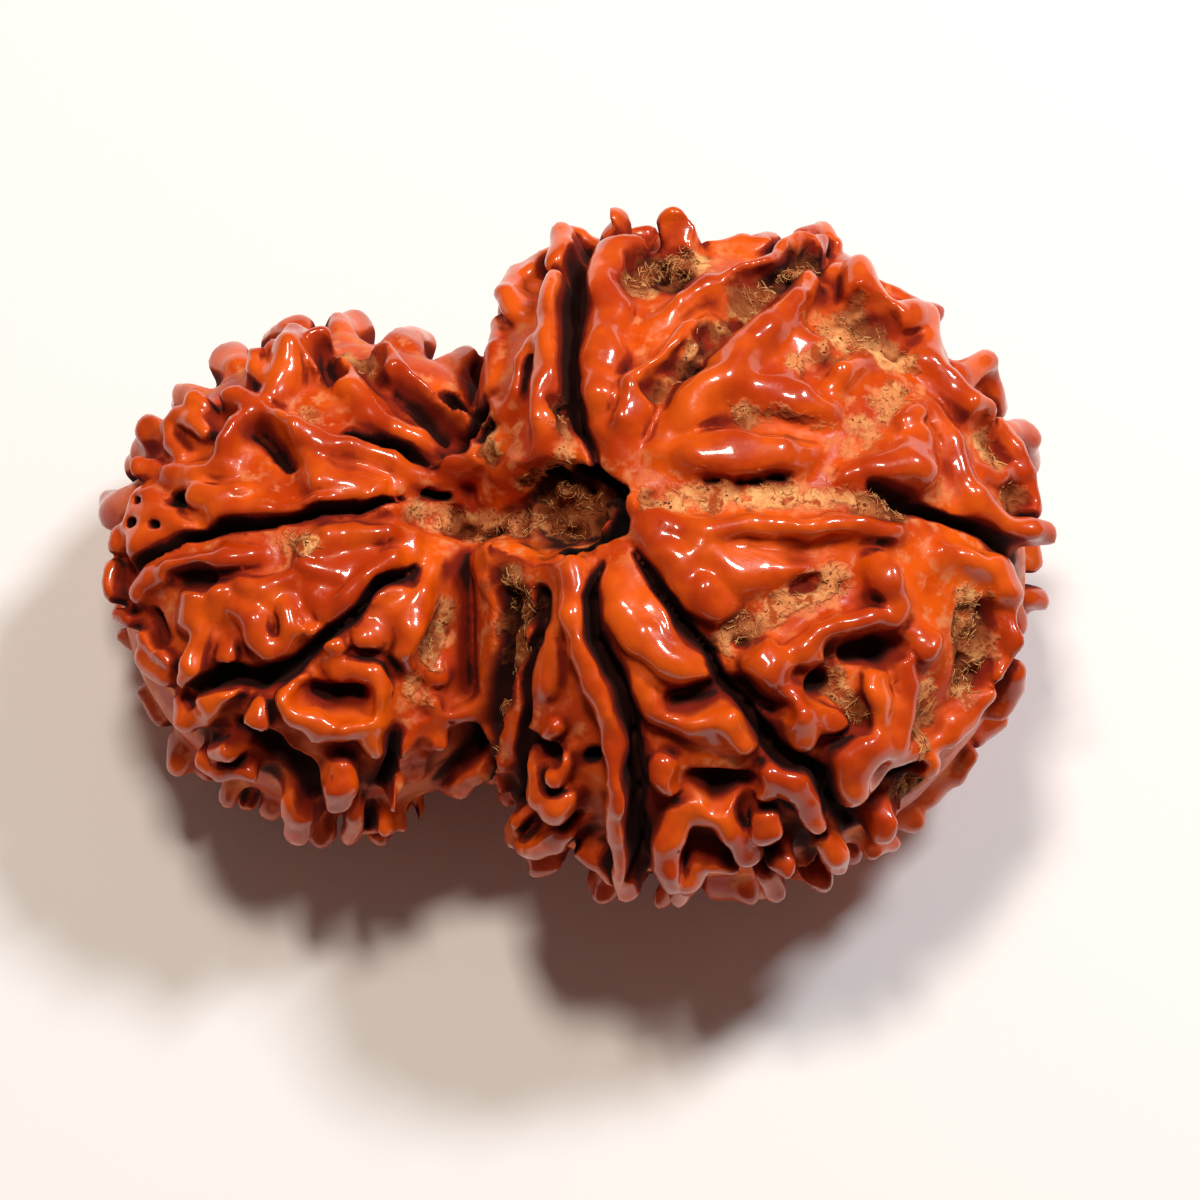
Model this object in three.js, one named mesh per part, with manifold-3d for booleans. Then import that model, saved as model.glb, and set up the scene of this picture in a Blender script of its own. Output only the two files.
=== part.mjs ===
// A rudraksha seed: two stony lobes that grew together, with knobbly ribs that run out from a
// fibrous hollow at the pole of each lobe. It is one piece. Millimetres, +Z up, the seed lies with
// its poles up and down, and the origin is under the middle of its box.

import * as THREE from "three";
import { mergeVertices } from "three/addons/utils/BufferGeometryUtils.js";
import Module from "manifold-3d";

// The floor that the ribs rise from, on each of the two lobes.
const floorRise = 1.6; // the floor's lowest point, over the ground
const lobeY = -0.2;
const largeLobe = {
  centre: [4.7, lobeY, floorRise + 7.6], radii: [11.9, 11.9, 7.6], flatX: -3.3, netDetail: 19, back: [20, 128],
};
const smallLobe = {
  centre: [-8.5, lobeY, floorRise + 5.8], radii: [8.4, 8.8, 5.8], flatX: -1.7, netDetail: 14, back: [60, 165],
};

// The seed is drawn about a point near its middle, and moved so that its box stands on the origin.
const middleShift = [0.05, 0.32];

// Each lobe is flattened at flatX, where it has grown into the other.
const flatRound = 3;

// A hollow joins the two poles, above and below.
const largePole = [0.7, -0.1];
const smallPole = [-5.0, 0.4];
const hollowRadius = 2.2;
const hollowDepth = 0.9;
const hollowBlend = 1;

const ribSpread = 1.3; // a rib's foot is this much wider than its drawn width
const leastSpread = 0.7; // and it is at least this wide, so that the net can follow it
const lineDepth = 0.5; // depth of a dividing line under the floor
const crestPull = 0.8; // how strongly the net is drawn in towards the crest of a rib
const netCrowding = 0.3; // moves the points of a lobe's net up, so that its upper side is finer
const leastRise = 0.6; // where a net's ray leans over the floor, heights along it grow by at most 1 / this

// Ribs are drawn on a plan that looks down on the front of the seed at this angle.
const sightAngle = THREE.MathUtils.degToRad(72);
const sight = new THREE.Vector3(0, -Math.cos(sightAngle), Math.sin(sightAngle));
const planUp = new THREE.Vector3(0, Math.sin(sightAngle), Math.cos(sightAngle));
const planLevel = largeLobe.centre[2];
const sightRange = [25, -12]; // a line of sight is followed between these distances from the plan
const sightStep = 0.25;
const halvings = 24; // rounds of halving in a search
const farOut = 20; // beyond the seed, from the middle of a lobe

// Each rib is a run of points: across and up on the plan, half width, and height over the floor.
const largeRibs = {
  foldRim: [[-2.6, 2.6, .75, .9], [-1.5, 3.5, .5, 1.2], [-1.2, 5, .5, 1.6], [-1.1, 6.6, .5, 1.7],
    [-.9, 8.2, .55, 1.8], [-.95, 9.4, .6, 2], [-.85, 10.5, .45, 2]],
  foldTip: [[-.7, 11.2, .5, 1.8], [-.7, 12.3, .45, 2.1]],
  foldBack: [[-1.2, 12.1, .6, 1.4], [-.6, 12.8, .6, 1.8]],
  foldLeftEdge: [[-1.3, 8.2, .4, 1.5], [-2, 7.3, .35, 1.4], [-2.3, 6.2, .35, 1.2], [-2.9, 5.4, .35, .9]],
  shoulderKnob: [[-1.9, 11.5, .45, 1.5], [-2.6, 11, .5, 1.7], [-2.8, 10.1, .45, 1.6], [-2.5, 9.2, .45, 1.2]],
  shoulderBranch: [[-1.9, 11, .4, 1.4], [-1.3, 11.4, .35, 1.4]],
  sideRib: [[-3.1, 8.8, .4, .9], [-3.4, 7.6, .35, 1.1], [-3.5, 6.3, .35, 1]],
  westFlank: [[.8, 4.9, .7, 1], [.75, 5.9, .7, 1.5], [.8, 7.2, .7, 1.4], [.9, 8.4, .7, 1.4],
    [1.2, 9.4, .6, 1.4]],
  westRib: [[1.5, 4, .5, 1], [1.7, 4.9, .55, 1.4], [2.2, 6.2, .6, 1.5], [3.4, 7.4, .65, 1.6],
    [4.6, 8.3, .6, 1.5], [5, 8.7, .5, 1.2]],
  northCurl: [[1.1, 9.6, .7, 1.5], [1.05, 10.6, .65, 1.7], [1.1, 11.5, .55, 1.6], [2.2, 11.7, .5, 1.6],
    [3.1, 11.4, .75, 1.9]],
  northKnobWest: [[1.1, 12.4, .45, 1.8], [1.1, 13, .45, 2.4]],
  northKnobEast: [[3.6, 12, .6, 1.7], [3.5, 12.85, .6, 2.4]],
  northBack: [[1.9, 12.4, .3, 1.2], [2.6, 12.5, .3, 1.2]],
  pitSill: [[2.9, 8.7, .4, .8], [4, 9.3, .45, 1], [5, 10, .5, 1.2]],
  topSausage: [[5.2, 10.1, .7, 1.3], [6.3, 10.4, .8, 1.8], [7.4, 11, .7, 1.8], [8.4, 11.7, .6, 1.7],
    [9.1, 11.9, .55, 1.5]],
  topBackWest: [[5, 11.6, .4, .8], [6.2, 11.7, .4, .9], [7.1, 11.8, .4, 1.2]],
  topBackEast: [[8.5, 12.3, .4, 1.6], [9.3, 12.4, .4, 1.7], [9.7, 11.8, .35, 1.4]],
  spine: [[3.3, 4.6, .6, 1], [4.2, 5.4, .85, 1.6], [5.2, 6.6, .9, 1.7], [6.2, 7.7, .7, 1.6],
    [7.1, 8.6, .6, 1.7],
    [8.1, 9.7, .6, 1.7], [8.8, 10.3, .5, 1.4]],
  innerDome: [[3, 3.9, .6, .9], [4.3, 3.9, .8, 1.5], [5.8, 3.9, .9, 1.7], [7.2, 3.8, .85, 1.6],
    [8.3, 3.7, .6, 1.1]],
  spineBranch: [[5.5, 6.4, .6, 1.3], [6.8, 6.1, .6, 1.2], [8, 5.9, .5, 1.3], [9.3, 5.4, .45, 1.2]],
  finger: [[9.2, 5.9, .4, .9], [9.8, 6.7, .42, 1.3], [10.6, 7.4, .35, .9]],
  nub: [[8, 8, .35, .9], [8.8, 7.7, .35, .8]],
  hook: [[9.6, 10.9, .6, 1.4], [10.6, 10.9, .75, 1.8], [10.9, 10, .8, 1.9], [11.6, 9.3, .7, 1.8],
    [12.6, 9, .6, 1.6], [13.2, 9.1, .5, 1.5]],
  eastShoulder: [[13.3, 8.6, .55, 1.3], [13.3, 7.5, .7, 1.3], [13.8, 6.6, .65, 1.3], [14.7, 5.7, .5, 1.6],
    [15.4, 5.5, .45, 1.7]],
  backShelf: [[11.5, 11.1, .35, .9], [12.4, 10.4, .35, .9], [13.1, 9.9, .35, 1]],
  dome: [[10.2, 3, .6, 1], [11.4, 3.1, .9, 1.5], [12.5, 3.4, 1.05, 1.9], [12.6, 4.3, .7, 1.4]],
  domeKnob: [[12.1, 5, .5, 1.3], [12.5, 5.4, .55, 1.4]],
  domeOuter: [[13.2, 5.4, .45, 1.1], [13.9, 4.3, .5, 1.2], [14.3, 3.2, .5, 1.2], [14.8, 2.2, .55, 1.3],
    [15.8, 1.4, .5, 1.3], [16.9, 1, .5, 1.6], [17.5, .8, .45, 1.8]],
  eastRim: [[15.7, 5, .4, 1.2], [16.3, 4.2, .45, 1.2], [16.9, 3, .45, 1.3], [17.2, 1.9, .4, 1.3]],
  pitBar: [[14.9, 2.9, .3, .7], [15.8, 3.1, .4, .9], [16.7, 3, .4, 1]],
  longRib: [[2.3, 1.9, .45, .9], [3.4, 1.1, .5, 1.2], [4.9, .9, .5, 1.5], [6.6, 1.05, .4, 1.6],
    [8.5, 1.15, .38, 1.6],
    [10.4, 1.05, .38, 1.5], [11.7, .8, .35, 1.1]],
  wedgeEdge: [[2.3, 1, .5, .9], [3.1, .1, .55, 1.3], [3.9, -.8, .65, 1.6], [4.6, -1.5, .75, 1.7],
    [5.1, -1.9, .6, 1.4]],
  wedgeTop: [[4.4, .2, .7, 1.4], [5.6, -.6, .8, 1.3], [7.2, -.4, .6, 1.1], [8.5, -.5, .45, 1]],
  midKnob: [[11, -.3, .5, 1.2], [11.4, -1, .6, 1.7], [11.8, -1.8, .6, 1.6]],
  midArch: [[11.7, -2.1, .5, 1.6], [10.8, -2.3, .4, 1.6], [9.7, -2.6, .4, 1.5], [8.7, -2.9, .45, 1.4],
    [8.2, -3.6, .5, 1.4]],
  midBead: [[9, -3, .4, 1.4], [9.1, -3.9, .4, 1.4]],
  roundKnob: [[6.8, -3.9, .8, 1.7], [7, -4.2, .95, 1.9]],
  midTooth: [[7.3, -4.7, .55, 1.3], [7.9, -5.2, .6, 1.4], [8.3, -6, .8, 1.8], [8.5, -6.9, .5, 1.6]],
  midToothArm: [[8.6, -6, .6, 1.5], [9.5, -6.1, .45, 1.2]],
  archKnob: [[12.4, -2.8, .5, 1.1], [13.1, -3.2, .6, 1.6]],
  eastFold: [[11.9, -3.9, .5, 1.1], [12.3, -4.8, .45, 1.3], [12.1, -5.9, .45, 1.4], [11.7, -6.9, .55, 1.5],
    [10.9, -7, .7, 1.8], [10.3, -7.9, .75, 1.9], [10.3, -8.9, .6, 1.8]],
  eastBulge: [[10.9, -4.5, .5, 1.2], [11.1, -5.4, .6, 1.6], [11.2, -6.3, .55, 1.5]],
  eyeRing: [[11.7, -7.3, .4, 1.2], [12.6, -7.2, .45, 1.3], [13.2, -7.9, .45, 1.4], [13.1, -8.8, .45, 1.4],
    [12.4, -9.5, .5, 1.4], [11.7, -9.8, .6, 1.5], [11.5, -10.4, .55, 1.6]],
  eyeFoot: [[12, -11, .35, 1.2], [11.1, -11.2, .35, 1.2]],
  outerLobes: [[13.4, -.1, .4, 1], [14.4, -.1, .45, 1.3], [15.5, -.5, .55, 1.4], [16.2, -1.3, .7, 1.7],
    [16, -2.4, .6, 1.4], [16.1, -3.3, .65, 1.7], [15.6, -4.3, .45, 1.3]],
  outerSill: [[15.2, -5.2, .5, 1.1], [14.8, -6, .5, 1.1], [13.9, -6.6, .5, 1.1], [13.2, -7, .4, 1]],
  outerKnob: [[16.4, -4.4, .5, 1.2], [16.5, -5.2, .5, 1.3], [15.9, -6, .4, 1]],
  doubleRibThin: [[1.7, -.5, .4, .9], [2.5, -1.6, .35, 1.3], [3.5, -2.7, .35, 1.4], [4.5, -3.7, .35, 1.3]],
  doubleRibThick: [[1.3, -.9, .5, 1], [1.6, -2, .6, 1.5], [2.4, -3, .7, 1.8], [3.5, -3.9, .7, 1.8],
    [4.6, -4.6, .5, 1.4]],
  skirt: [[1.9, -3.6, .6, 1.2], [2.3, -4.8, .6, 1.2], [3, -5.6, .6, 1.3], [4.2, -6.1, .5, 1.4],
    [5.5, -6.2, .7, 1.7],
    [6.1, -6.7, .6, 1.7]],
  frontKnob: [[3.2, -7.8, .6, 1.6], [3.2, -8.4, .6, 1.8]],
  frontArch: [[6.8, -8.7, .45, 1.5], [7.2, -8.1, .55, 1.7], [7.9, -8.6, .55, 1.7], [8.5, -9.3, .45, 1.6],
    [9.1, -10, .35, 1.5]],
  frontBead: [[7, -9.8, .55, 1.4], [7.1, -10.4, .65, 1.8]],
  frontWall: [[4.2, -9.6, .6, 1.2], [5.2, -9.4, .5, 1.3], [5.6, -10.3, .5, 1.4], [6.4, -11.1, .5, 1.4]],
  frontFinger: [[3.6, -9.7, .6, 1.4], [3.2, -10.7, .55, 1.7], [3.2, -11.8, .5, 1.9], [3.4, -12.5, .4, 1.9]],
  frontFingerBehind: [[4.3, -11.5, .4, 1.2], [4.1, -12.3, .5, 1.6], [3.7, -12.9, .4, 1.6]],
  lowTooth: [[7.3, -11.3, .4, 1.3], [7.8, -11.7, .4, 1.7]],
  lowDrop: [[6.9, -11.9, .45, 1.1], [7.3, -12.7, .45, 1.5]],
  lowHorn: [[9.1, -10.6, .4, 1.3], [9.7, -11.3, .5, 1.7], [9.8, -11.8, .4, 1.8]],
  lowShelf: [[8.6, -12.1, .4, 1.2], [9.3, -12.6, .42, 1.4]],
  lowSill: [[4.9, -11.5, .35, 1], [5.6, -11.7, .35, 1]],
  arch: [[-4, -.6, .4, .9], [-3.3, 0, .4, 1.2], [-2.2, .4, .42, 1.2], [-1.1, .1, .42, 1.2],
    [-.3, -.6, .45, 1.3]],
  frontSpine: [[-.1, -.9, .55, 1.3], [-.2, -2.1, .6, 1.7], [0, -3.3, .55, 1.8], [.5, -4.6, .5, 1.8],
    [1.1, -5.9, .5, 1.8], [1.4, -7.2, .45, 1.8], [1.5, -8.4, .45, 1.8], [1.6, -9.4, .5, 1.9],
    [1.5, -10.6, .45, 1.8],
    [1.7, -11.8, .45, 1.8], [1.95, -12.8, .4, 1.9]],
  frontSpineFlank: [[.5, -1.2, .4, 1.1], [.55, -2.6, .35, 1.1]],
  frontLedge: [[-.9, -3.6, .5, .9], [-1, -4.8, .5, 1]],
  toothOne: [[-.8, -6.3, .4, 1.4], [-1.2, -6.8, .3, 1.3]],
  toothTwo: [[-.6, -7.6, .5, 1.5], [-.8, -8.2, .4, 1.5]],
  toothThree: [[-1.6, -7.9, .35, 1.1], [-1.5, -9.2, .45, 1.4], [-.9, -9.5, .5, 1.7], [-.3, -8.9, .35, 1.3]],
  seamFoot: [[-2.4, -9.9, .35, 1.1], [-2.6, -11, .45, 1.4], [-1.8, -11.2, .4, 1.5], [-1, -10.8, .4, 1.4],
    [-.3, -10.3, .3, 1.2]],
  seamFringe: [[0, -11, .3, .9], [.7, -11.5, .3, 1], [1.2, -12.1, .3, 1.1]],
};

const smallRibs = {
  arcRib: [[-7.1, 7.9, .45, 1.8], [-6.6, 7.1, .5, 1.7], [-5.7, 6.4, .45, 1.5], [-4.9, 5.8, .5, 1.5],
    [-4.3, 5, .5, 1.5], [-4.1, 4, .5, 1.4], [-4.4, 3.2, .4, 1]],
  arcShadow: [[-8.8, 7.4, .45, 1.3], [-8.3, 6.4, .45, 1.3], [-7.6, 5.5, .5, 1.2], [-6.6, 4.8, .55, 1.3],
    [-5.6, 4.4, .5, 1.1], [-4.8, 3.9, .4, .9]],
  crown: [[-10.4, 8.8, .4, 1.8], [-10.7, 8, .7, 1.9], [-10.9, 7, .65, 1.6], [-11.2, 6.2, .6, 1.4]],
  crownEast: [[-9.6, 8.5, .45, 1.9], [-9.5, 7.8, .45, 1.7], [-9, 7.2, .35, 1.4]],
  crownRing: [[-11.4, 8.1, .35, 1.6], [-12, 7.8, .3, 1.6], [-12, 7.2, .3, 1.5], [-11.6, 6.7, .3, 1.4]],
  northRib: [[-12.8, 6.1, .45, 1.6], [-12, 5.6, .45, 1.4], [-11, 5, .45, 1.5], [-10.3, 4.7, .45, 1.6],
    [-9.3, 4.4, .45, 1.4], [-8, 4, .4, 1.2], [-6.8, 3.6, .4, 1.1], [-5.6, 3.1, .45, .9]],
  northFork: [[-11.6, 5, .4, 1.3], [-12.6, 5, .45, 1.5], [-13, 4.2, .45, 1.4], [-13.2, 3.5, .4, 1.1]],
  triangle: [[-9.7, 3.8, .5, 1.2], [-9.4, 2.8, .6, 1.2], [-8.2, 2.6, .6, 1.2], [-7, 2.5, .5, 1.2],
    [-6.4, 2.5, .45, 1.2]],
  slotLip: [[-6, 2, .3, 1], [-7.6, 2.15, .32, 1.2], [-9.3, 1.85, .32, 1.2], [-10.6, 1.8, .35, 1.1],
    [-12.2, 1.6, .4, 1.1], [-13.4, 1.9, .45, 1.1]],
  farTooth: [[-14.3, 6, .4, 1.6], [-13.7, 5.6, .35, 1.3]],
  farRibOne: [[-15, 5.5, .4, 1.5], [-14.3, 5.2, .35, 1.4], [-13.8, 4.7, .3, 1.3]],
  farRibTwo: [[-15.3, 5.1, .4, 1.4], [-15.1, 4.4, .3, 1.1], [-14.6, 3.8, .3, .9]],
  westKnob: [[-16.3, 4.9, .5, 1.5], [-15.7, 4.9, .4, 1.3]],
  westKnobTwo: [[-16.4, 3.5, .45, 1.4], [-15.8, 3.4, .35, 1]],
  westSill: [[-15.2, 3.2, .35, .9], [-14, 3.1, .35, .9], [-12.9, 3.3, .4, 1]],
  westPlate: [[-16.4, 2.3, .5, 1.2], [-16.6, 1.2, .5, 1.2], [-16.3, .4, .6, 1.3], [-15.4, .4, .5, 1.2],
    [-14.7, .9, .45, 1.1], [-14.9, 1.6, .3, 1]],
  plateBar: [[-15.9, 2.4, .35, 1], [-15.3, 1.5, .35, 1], [-16.1, 1.4, .35, 1.1]],
  innerPlate: [[-14, 2.4, .45, 1.1], [-13.3, 2.2, .45, 1.1], [-12.5, 2.4, .4, 1]],
  rimDropOne: [[-17.2, .9, .3, 1.3], [-17.4, .3, .3, 1.4]],
  rimDropTwo: [[-17.6, -.5, .3, 1.5], [-17.5, -1.4, .35, 1.4]],
  rimDropThree: [[-17.2, -2.3, .3, 1.3], [-16.7, -2.4, .35, 1.1]],
  westRib: [[-16.3, -1.4, .4, 1.2], [-15.8, -.8, .45, 1.3], [-14.9, -.4, .45, 1.4], [-13.8, -.2, .45, 1.4],
    [-12.8, .1, .45, 1.2], [-11.8, 0, .4, 1.1]],
  slotSill: [[-5.9, .9, .35, 1.1], [-6.8, .7, .35, 1.2], [-8, .7, .35, 1.1], [-9, .6, .35, 1.1],
    [-9.8, .2, .4, 1]],
  leftLobeEdge: [[-5.9, .2, .4, 1.1], [-6.6, -.2, .45, 1.4], [-7.4, -.9, .45, 1.4], [-8.3, -1.7, .45, 1.3],
    [-8.9, -2.1, .4, 1.1]],
  leftLobe: [[-9.6, -.2, .5, 1.1], [-8.6, -.6, .45, 1], [-7.6, -.2, .4, 1]],
  leftPatch: [[-9.5, -1.5, .4, .9], [-9, -1.6, .4, .9]],
  westLobe: [[-14.1, -1.5, .5, 1.4], [-14.3, -2.3, .45, 1.4], [-13.8, -2.8, .4, 1.3]],
  westLobeTwo: [[-13.2, -1.4, .45, 1.3], [-13.3, -2.2, .4, 1.2]],
  westFinger: [[-13.8, -3.2, .4, 1.4], [-14.1, -4.1, .45, 1.7], [-14.4, -4.8, .35, 1.6]],
  westNeedle: [[-12.8, -3.3, .3, 1.1], [-12.9, -4, .3, 1.2]],
  midLobe: [[-12.7, -2, .45, 1.3], [-12, -2.4, .5, 1.4], [-11.9, -3, .5, 1.5], [-11.2, -3.6, .45, 1.5]],
  midLobeEast: [[-10.5, -1.9, .4, 1.2], [-10.4, -2.7, .4, 1.3], [-10.7, -3.5, .35, 1.3]],
  midStrip: [[-12.4, -1.1, .4, 1.1], [-11.2, -1.3, .4, 1], [-10.3, -1, .4, 1]],
  leaf: [[-16.1, -3.8, .4, 1.2], [-15.4, -4.5, .4, 1.2]],
  leafRib: [[-16, -3.1, .3, 1], [-15.4, -3.5, .35, 1.2], [-15, -4, .3, 1.1]],
  bulb: [[-14.8, -5.3, .3, 1], [-14.8, -6.3, .55, 1.7]],
  lowRib: [[-14, -6, .4, 1.3], [-13.6, -5.7, .45, 1.5], [-12.7, -5.1, .35, 1.4]],
  almond: [[-11.6, -5.5, .3, 1.4], [-11.75, -6.3, .42, 1.8]],
  lowBranch: [[-12.4, -6.7, .3, 1.2], [-12.7, -7.3, .45, 1.4], [-13.5, -7.5, .35, 1.2]],
  lowRim: [[-14, -7.8, .35, 1.2], [-13.2, -8.3, .4, 1.3], [-12, -8.2, .35, 1.2]],
  lowKnob: [[-10.9, -7.5, .4, 1.3], [-10.7, -7.8, .4, 1.3]],
  longDrop: [[-10.5, -9.3, .45, 1.3], [-10.3, -10.1, .55, 1.6], [-10.2, -10.7, .55, 1.7]],
  shortDrop: [[-8.6, -8, .4, 1.5], [-8.7, -8.8, .55, 1.9], [-8.8, -9.4, .5, 1.8]],
  underDrop: [[-8.2, -10, .35, 1.2], [-8.3, -10.9, .4, 1.4]],
  underLedge: [[-7.6, -10.5, .3, 1.1], [-6.9, -10.2, .3, 1.2], [-6.4, -10.2, .3, 1.1]],
  ring: [[-8.2, -4.2, .4, 1.2], [-7.5, -4.3, .4, 1.4], [-7.1, -5.2, .5, 1.6], [-7.4, -6.1, .6, 1.7],
    [-8.3, -6.4, .6, 1.8],
    [-9.4, -6.4, .5, 1.6], [-10.3, -6, .45, 1.5], [-10.6, -5.2, .4, 1.5], [-10.2, -4.5, .35, 1.2]],
  ringTongue: [[-8.9, -4.1, .35, 1], [-8.5, -4.6, .4, 1.1]],
  ringTail: [[-7.4, -6.7, .4, 1.5], [-7.25, -7.3, .3, 1.4]],
  ringKnot: [[-9.4, -2.9, .4, 1.2], [-8.8, -3.3, .4, 1.2], [-8.9, -3.9, .3, 1]],
  southLobe: [[-5.1, -.4, .35, 1], [-5.5, -1.4, .5, 1.3], [-5.9, -2.6, .65, 1.5], [-6.1, -3.6, .5, 1.4],
    [-6, -4.2, .35, 1.2]],
  southArm: [[-6.6, -2.3, .5, 1.2], [-7.5, -2.9, .4, 1.4], [-7.9, -3, .35, 1.4]],
  southEdge: [[-6.3, -1.3, .3, 1], [-7.1, -1.8, .3, 1.1], [-8, -2.6, .3, 1.1]],
  bowRib: [[-4, -.8, .5, 1.2], [-3.5, -1.7, .45, 1.6], [-3.4, -2.7, .45, 1.7], [-3.8, -3.9, .5, 1.7],
    [-4.4, -4.9, .5, 1.7]],
  bowFlank: [[-4.9, -4.6, .4, 1], [-5.2, -3.9, .35, .8]],
  thinRib: [[-4.6, -6.2, .3, 1], [-3.9, -5.9, .3, 1.1], [-3.3, -5.5, .3, 1]],
  sideBand: [[-5.2, -5.6, .3, 1.1], [-5, -6.3, .3, 1.1], [-4.9, -7, .3, 1]],
  longSouthRib: [[-5.5, -6.6, .35, 1.2], [-5.9, -7.4, .4, 1.5], [-6.3, -8.4, .45, 1.7],
    [-6.4, -9.4, .4, 1.7]],
  tooth: [[-5.4, -8.1, .3, 1.3], [-5.4, -8.9, .3, 1.4]],
  shadowLumps: [[-3.2, -7.4, .4, .9], [-3.6, -8.2, .4, 1], [-3.8, -9, .4, 1.1]],
};

// The dividing lines that run from pole to pole: across, up, and half width.
const largeLines = {
  north: [[.1, 3.4, .35], [0, 5.5, .4], [-.05, 7.5, .45], [.2, 9.5, .5], [.35, 11, .5]],
  northEast: [[2.3, 4, .4], [3.4, 5.9, .4], [4.9, 7.7, .4], [6.4, 9.1, .4], [8, 10.6, .4], [9.3, 11.5, .3]],
  east: [[2.6, 2.5, .4], [5, 2.6, .4], [8, 2.5, .4], [11, 2.1, .45], [13, 1.5, .5], [14.8, .8, .5],
    [16.9, -.1, .4]],
  southEast: [[2, 0, .4], [3.2, -1.4, .45], [4.6, -2.9, .5], [5.6, -4.8, .4], [6.9, -6.5, .5],
    [8.5, -7.9, .5],
    [9.5, -9.3, .5], [10.3, -10.7, .45]],
  south: [[.95, -.9, .35], [.85, -2.6, .4], [1.2, -4.4, .4], [1.9, -5.9, .45], [2.3, -7.4, .4],
    [2.3, -9.4, .4],
    [2.5, -11.4, .4]],
  southWest: [[-1.2, -1.4, .35], [-1.6, -3.4, .4], [-1.9, -5.4, .4], [-2.2, -7.6, .4], [-2.5, -9.2, .35]],
};
const smallLines = {
  west: [[-6, 1.7, .3], [-8, 1.6, .35], [-10, 1.3, .4], [-12, 1.1, .4], [-14, .9, .35], [-16, -.6, .35]],
  southWest: [[-5.8, -.4, .3], [-7.2, -1.4, .35], [-8.8, -2.7, .4], [-10.2, -3.8, .45], [-12, -4.3, .5],
    [-13.6, -4.9, .4], [-14.6, -5.5, .3]],
  northWest: [[-5.2, 2.6, .3], [-6.4, 4.2, .35], [-7.6, 5.4, .35], [-9, 6.8, .4], [-9.9, 7.8, .35]],
  south: [[-4.7, -1.6, .35], [-4.9, -3.2, .35], [-5.6, -4.9, .4], [-6.2, -6.4, .4], [-6.9, -7.9, .4],
    [-7.6, -9.4, .35]],
  north: [[-4, 3, .3], [-3.6, 4.6, .35], [-4.3, 5.9, .3]],
};

// Unseen ribs over the back rim, and the feet, follow rules. A range is its least value and its spread.
const seedOfChance = 27;
const backRibSpacing = 15; // degrees round a lobe
const backRibReach = 20; // degrees above and below a lobe's widest line
const backRibWave = 5; // degrees
const backRibHalfWidth = [0.45, 0.3];
const backRibHeight = [1.2, 0.6];
const undersideDrift = 0.8; // how far a rib under the seed strays from the one above it
const unseenBelow = -0.06; // a place is unseen where its way out leans from the sight line by more than this
const footRadius = 1.5;
const footHeight = 3;
const feet = [[7, 3.6], [7, -4.2], [-8.6, lobeY]];

const vector = (p) => new THREE.Vector3(...p);

function smoothMin(a, b, blend) {
  const share = Math.max(blend - Math.abs(a - b), 0) / blend;
  return Math.min(a, b) - share * share * blend / 4;
}
const smoothMax = (a, b, blend) => -smoothMin(-a, -b, blend);

// Draws that come out the same on every run.
function chance(start) {
  let state = start >>> 0;
  return () => {
    state = (Math.imul(state, 1664525) + 1013904223) >>> 0;
    return state / 4294967296;
  };
}

// Distance from the rounded bar that presses the hollow between the poles into a side of the seed.
function hollowDistance(p, side) {
  const end = (lobe, pole) => {
    const offset = (pole[0] - lobe.centre[0]) / lobe.radii[0];
    const rise = lobe.radii[2] * Math.sqrt(1 - offset * offset) + hollowRadius - hollowDepth;
    return new THREE.Vector3(...pole, lobe.centre[2] + side * rise);
  };
  const start = end(largeLobe, largePole);
  const run = end(smallLobe, smallPole).sub(start);
  const share = THREE.MathUtils.clamp(p.clone().sub(start).dot(run) / run.lengthSq(), 0, 1);
  return p.distanceTo(start.addScaledVector(run, share)) - hollowRadius;
}

// Distance from a lobe's floor, which is flattened at the seam and hollowed at the poles.
function lobeDistance(lobe, p) {
  const scaled = p.clone().sub(vector(lobe.centre)).divide(vector(lobe.radii));
  const steep = scaled.clone().divide(vector(lobe.radii)).length();
  const round = scaled.length() * (scaled.length() - 1) / Math.max(steep, 1e-6);
  const past = Math.sign(lobe.flatX - lobe.centre[0]) * (p.x - lobe.flatX);
  const above = smoothMax(smoothMax(round, past, flatRound), -hollowDistance(p, 1), hollowBlend);
  return smoothMax(above, -hollowDistance(p, -1), hollowBlend);
}

// Distance from the whole seed's floor: negative inside.
const floorDistance = (p) => Math.min(lobeDistance(largeLobe, p), lobeDistance(smallLobe, p));

// The direction straight out of the floor.
function outward(p, distance = floorDistance) {
  const step = 0.02;
  const slope = (x, y, z) => {
    const shift = new THREE.Vector3(x, y, z);
    return distance(p.clone().add(shift)) - distance(p.clone().sub(shift));
  };
  return new THREE.Vector3(slope(step, 0, 0), slope(0, step, 0), slope(0, 0, step)).normalize();
}

// Moves a point straight in or out to the floor.
function settle(p) {
  for (let i = 0; i < 4; i++) p.addScaledVector(outward(p), -floorDistance(p));
  return p;
}

// The place that a point of the plan shows at a level over the floor. Where the line of sight
// passes the seed, it is the place on that line nearest the seed.
function placeOnPlan(across, up, level) {
  const start = planUp.clone().multiplyScalar(up).add(new THREE.Vector3(across, 0, planLevel));
  const gap = (t) => floorDistance(start.clone().addScaledVector(sight, t)) - level;
  const [from, to] = sightRange;
  let nearest = from;
  for (let t = from; t > to && gap(nearest) > 0; t -= sightStep) if (gap(t) < gap(nearest)) nearest = t;
  let far = nearest + sightStep;
  for (let i = 0; gap(nearest) < 0 && i < halvings; i++) {
    const middle = (nearest + far) / 2;
    if (gap(middle) < 0) nearest = middle;
    else far = middle;
  }
  return start.addScaledVector(sight, nearest);
}

// A drawn rib's foot line, on the floor.
function drawnRib(run) {
  return run.map(([across, up, r, h]) => ({ at: settle(placeOnPlan(across, up, h)), r, h }));
}

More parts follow.
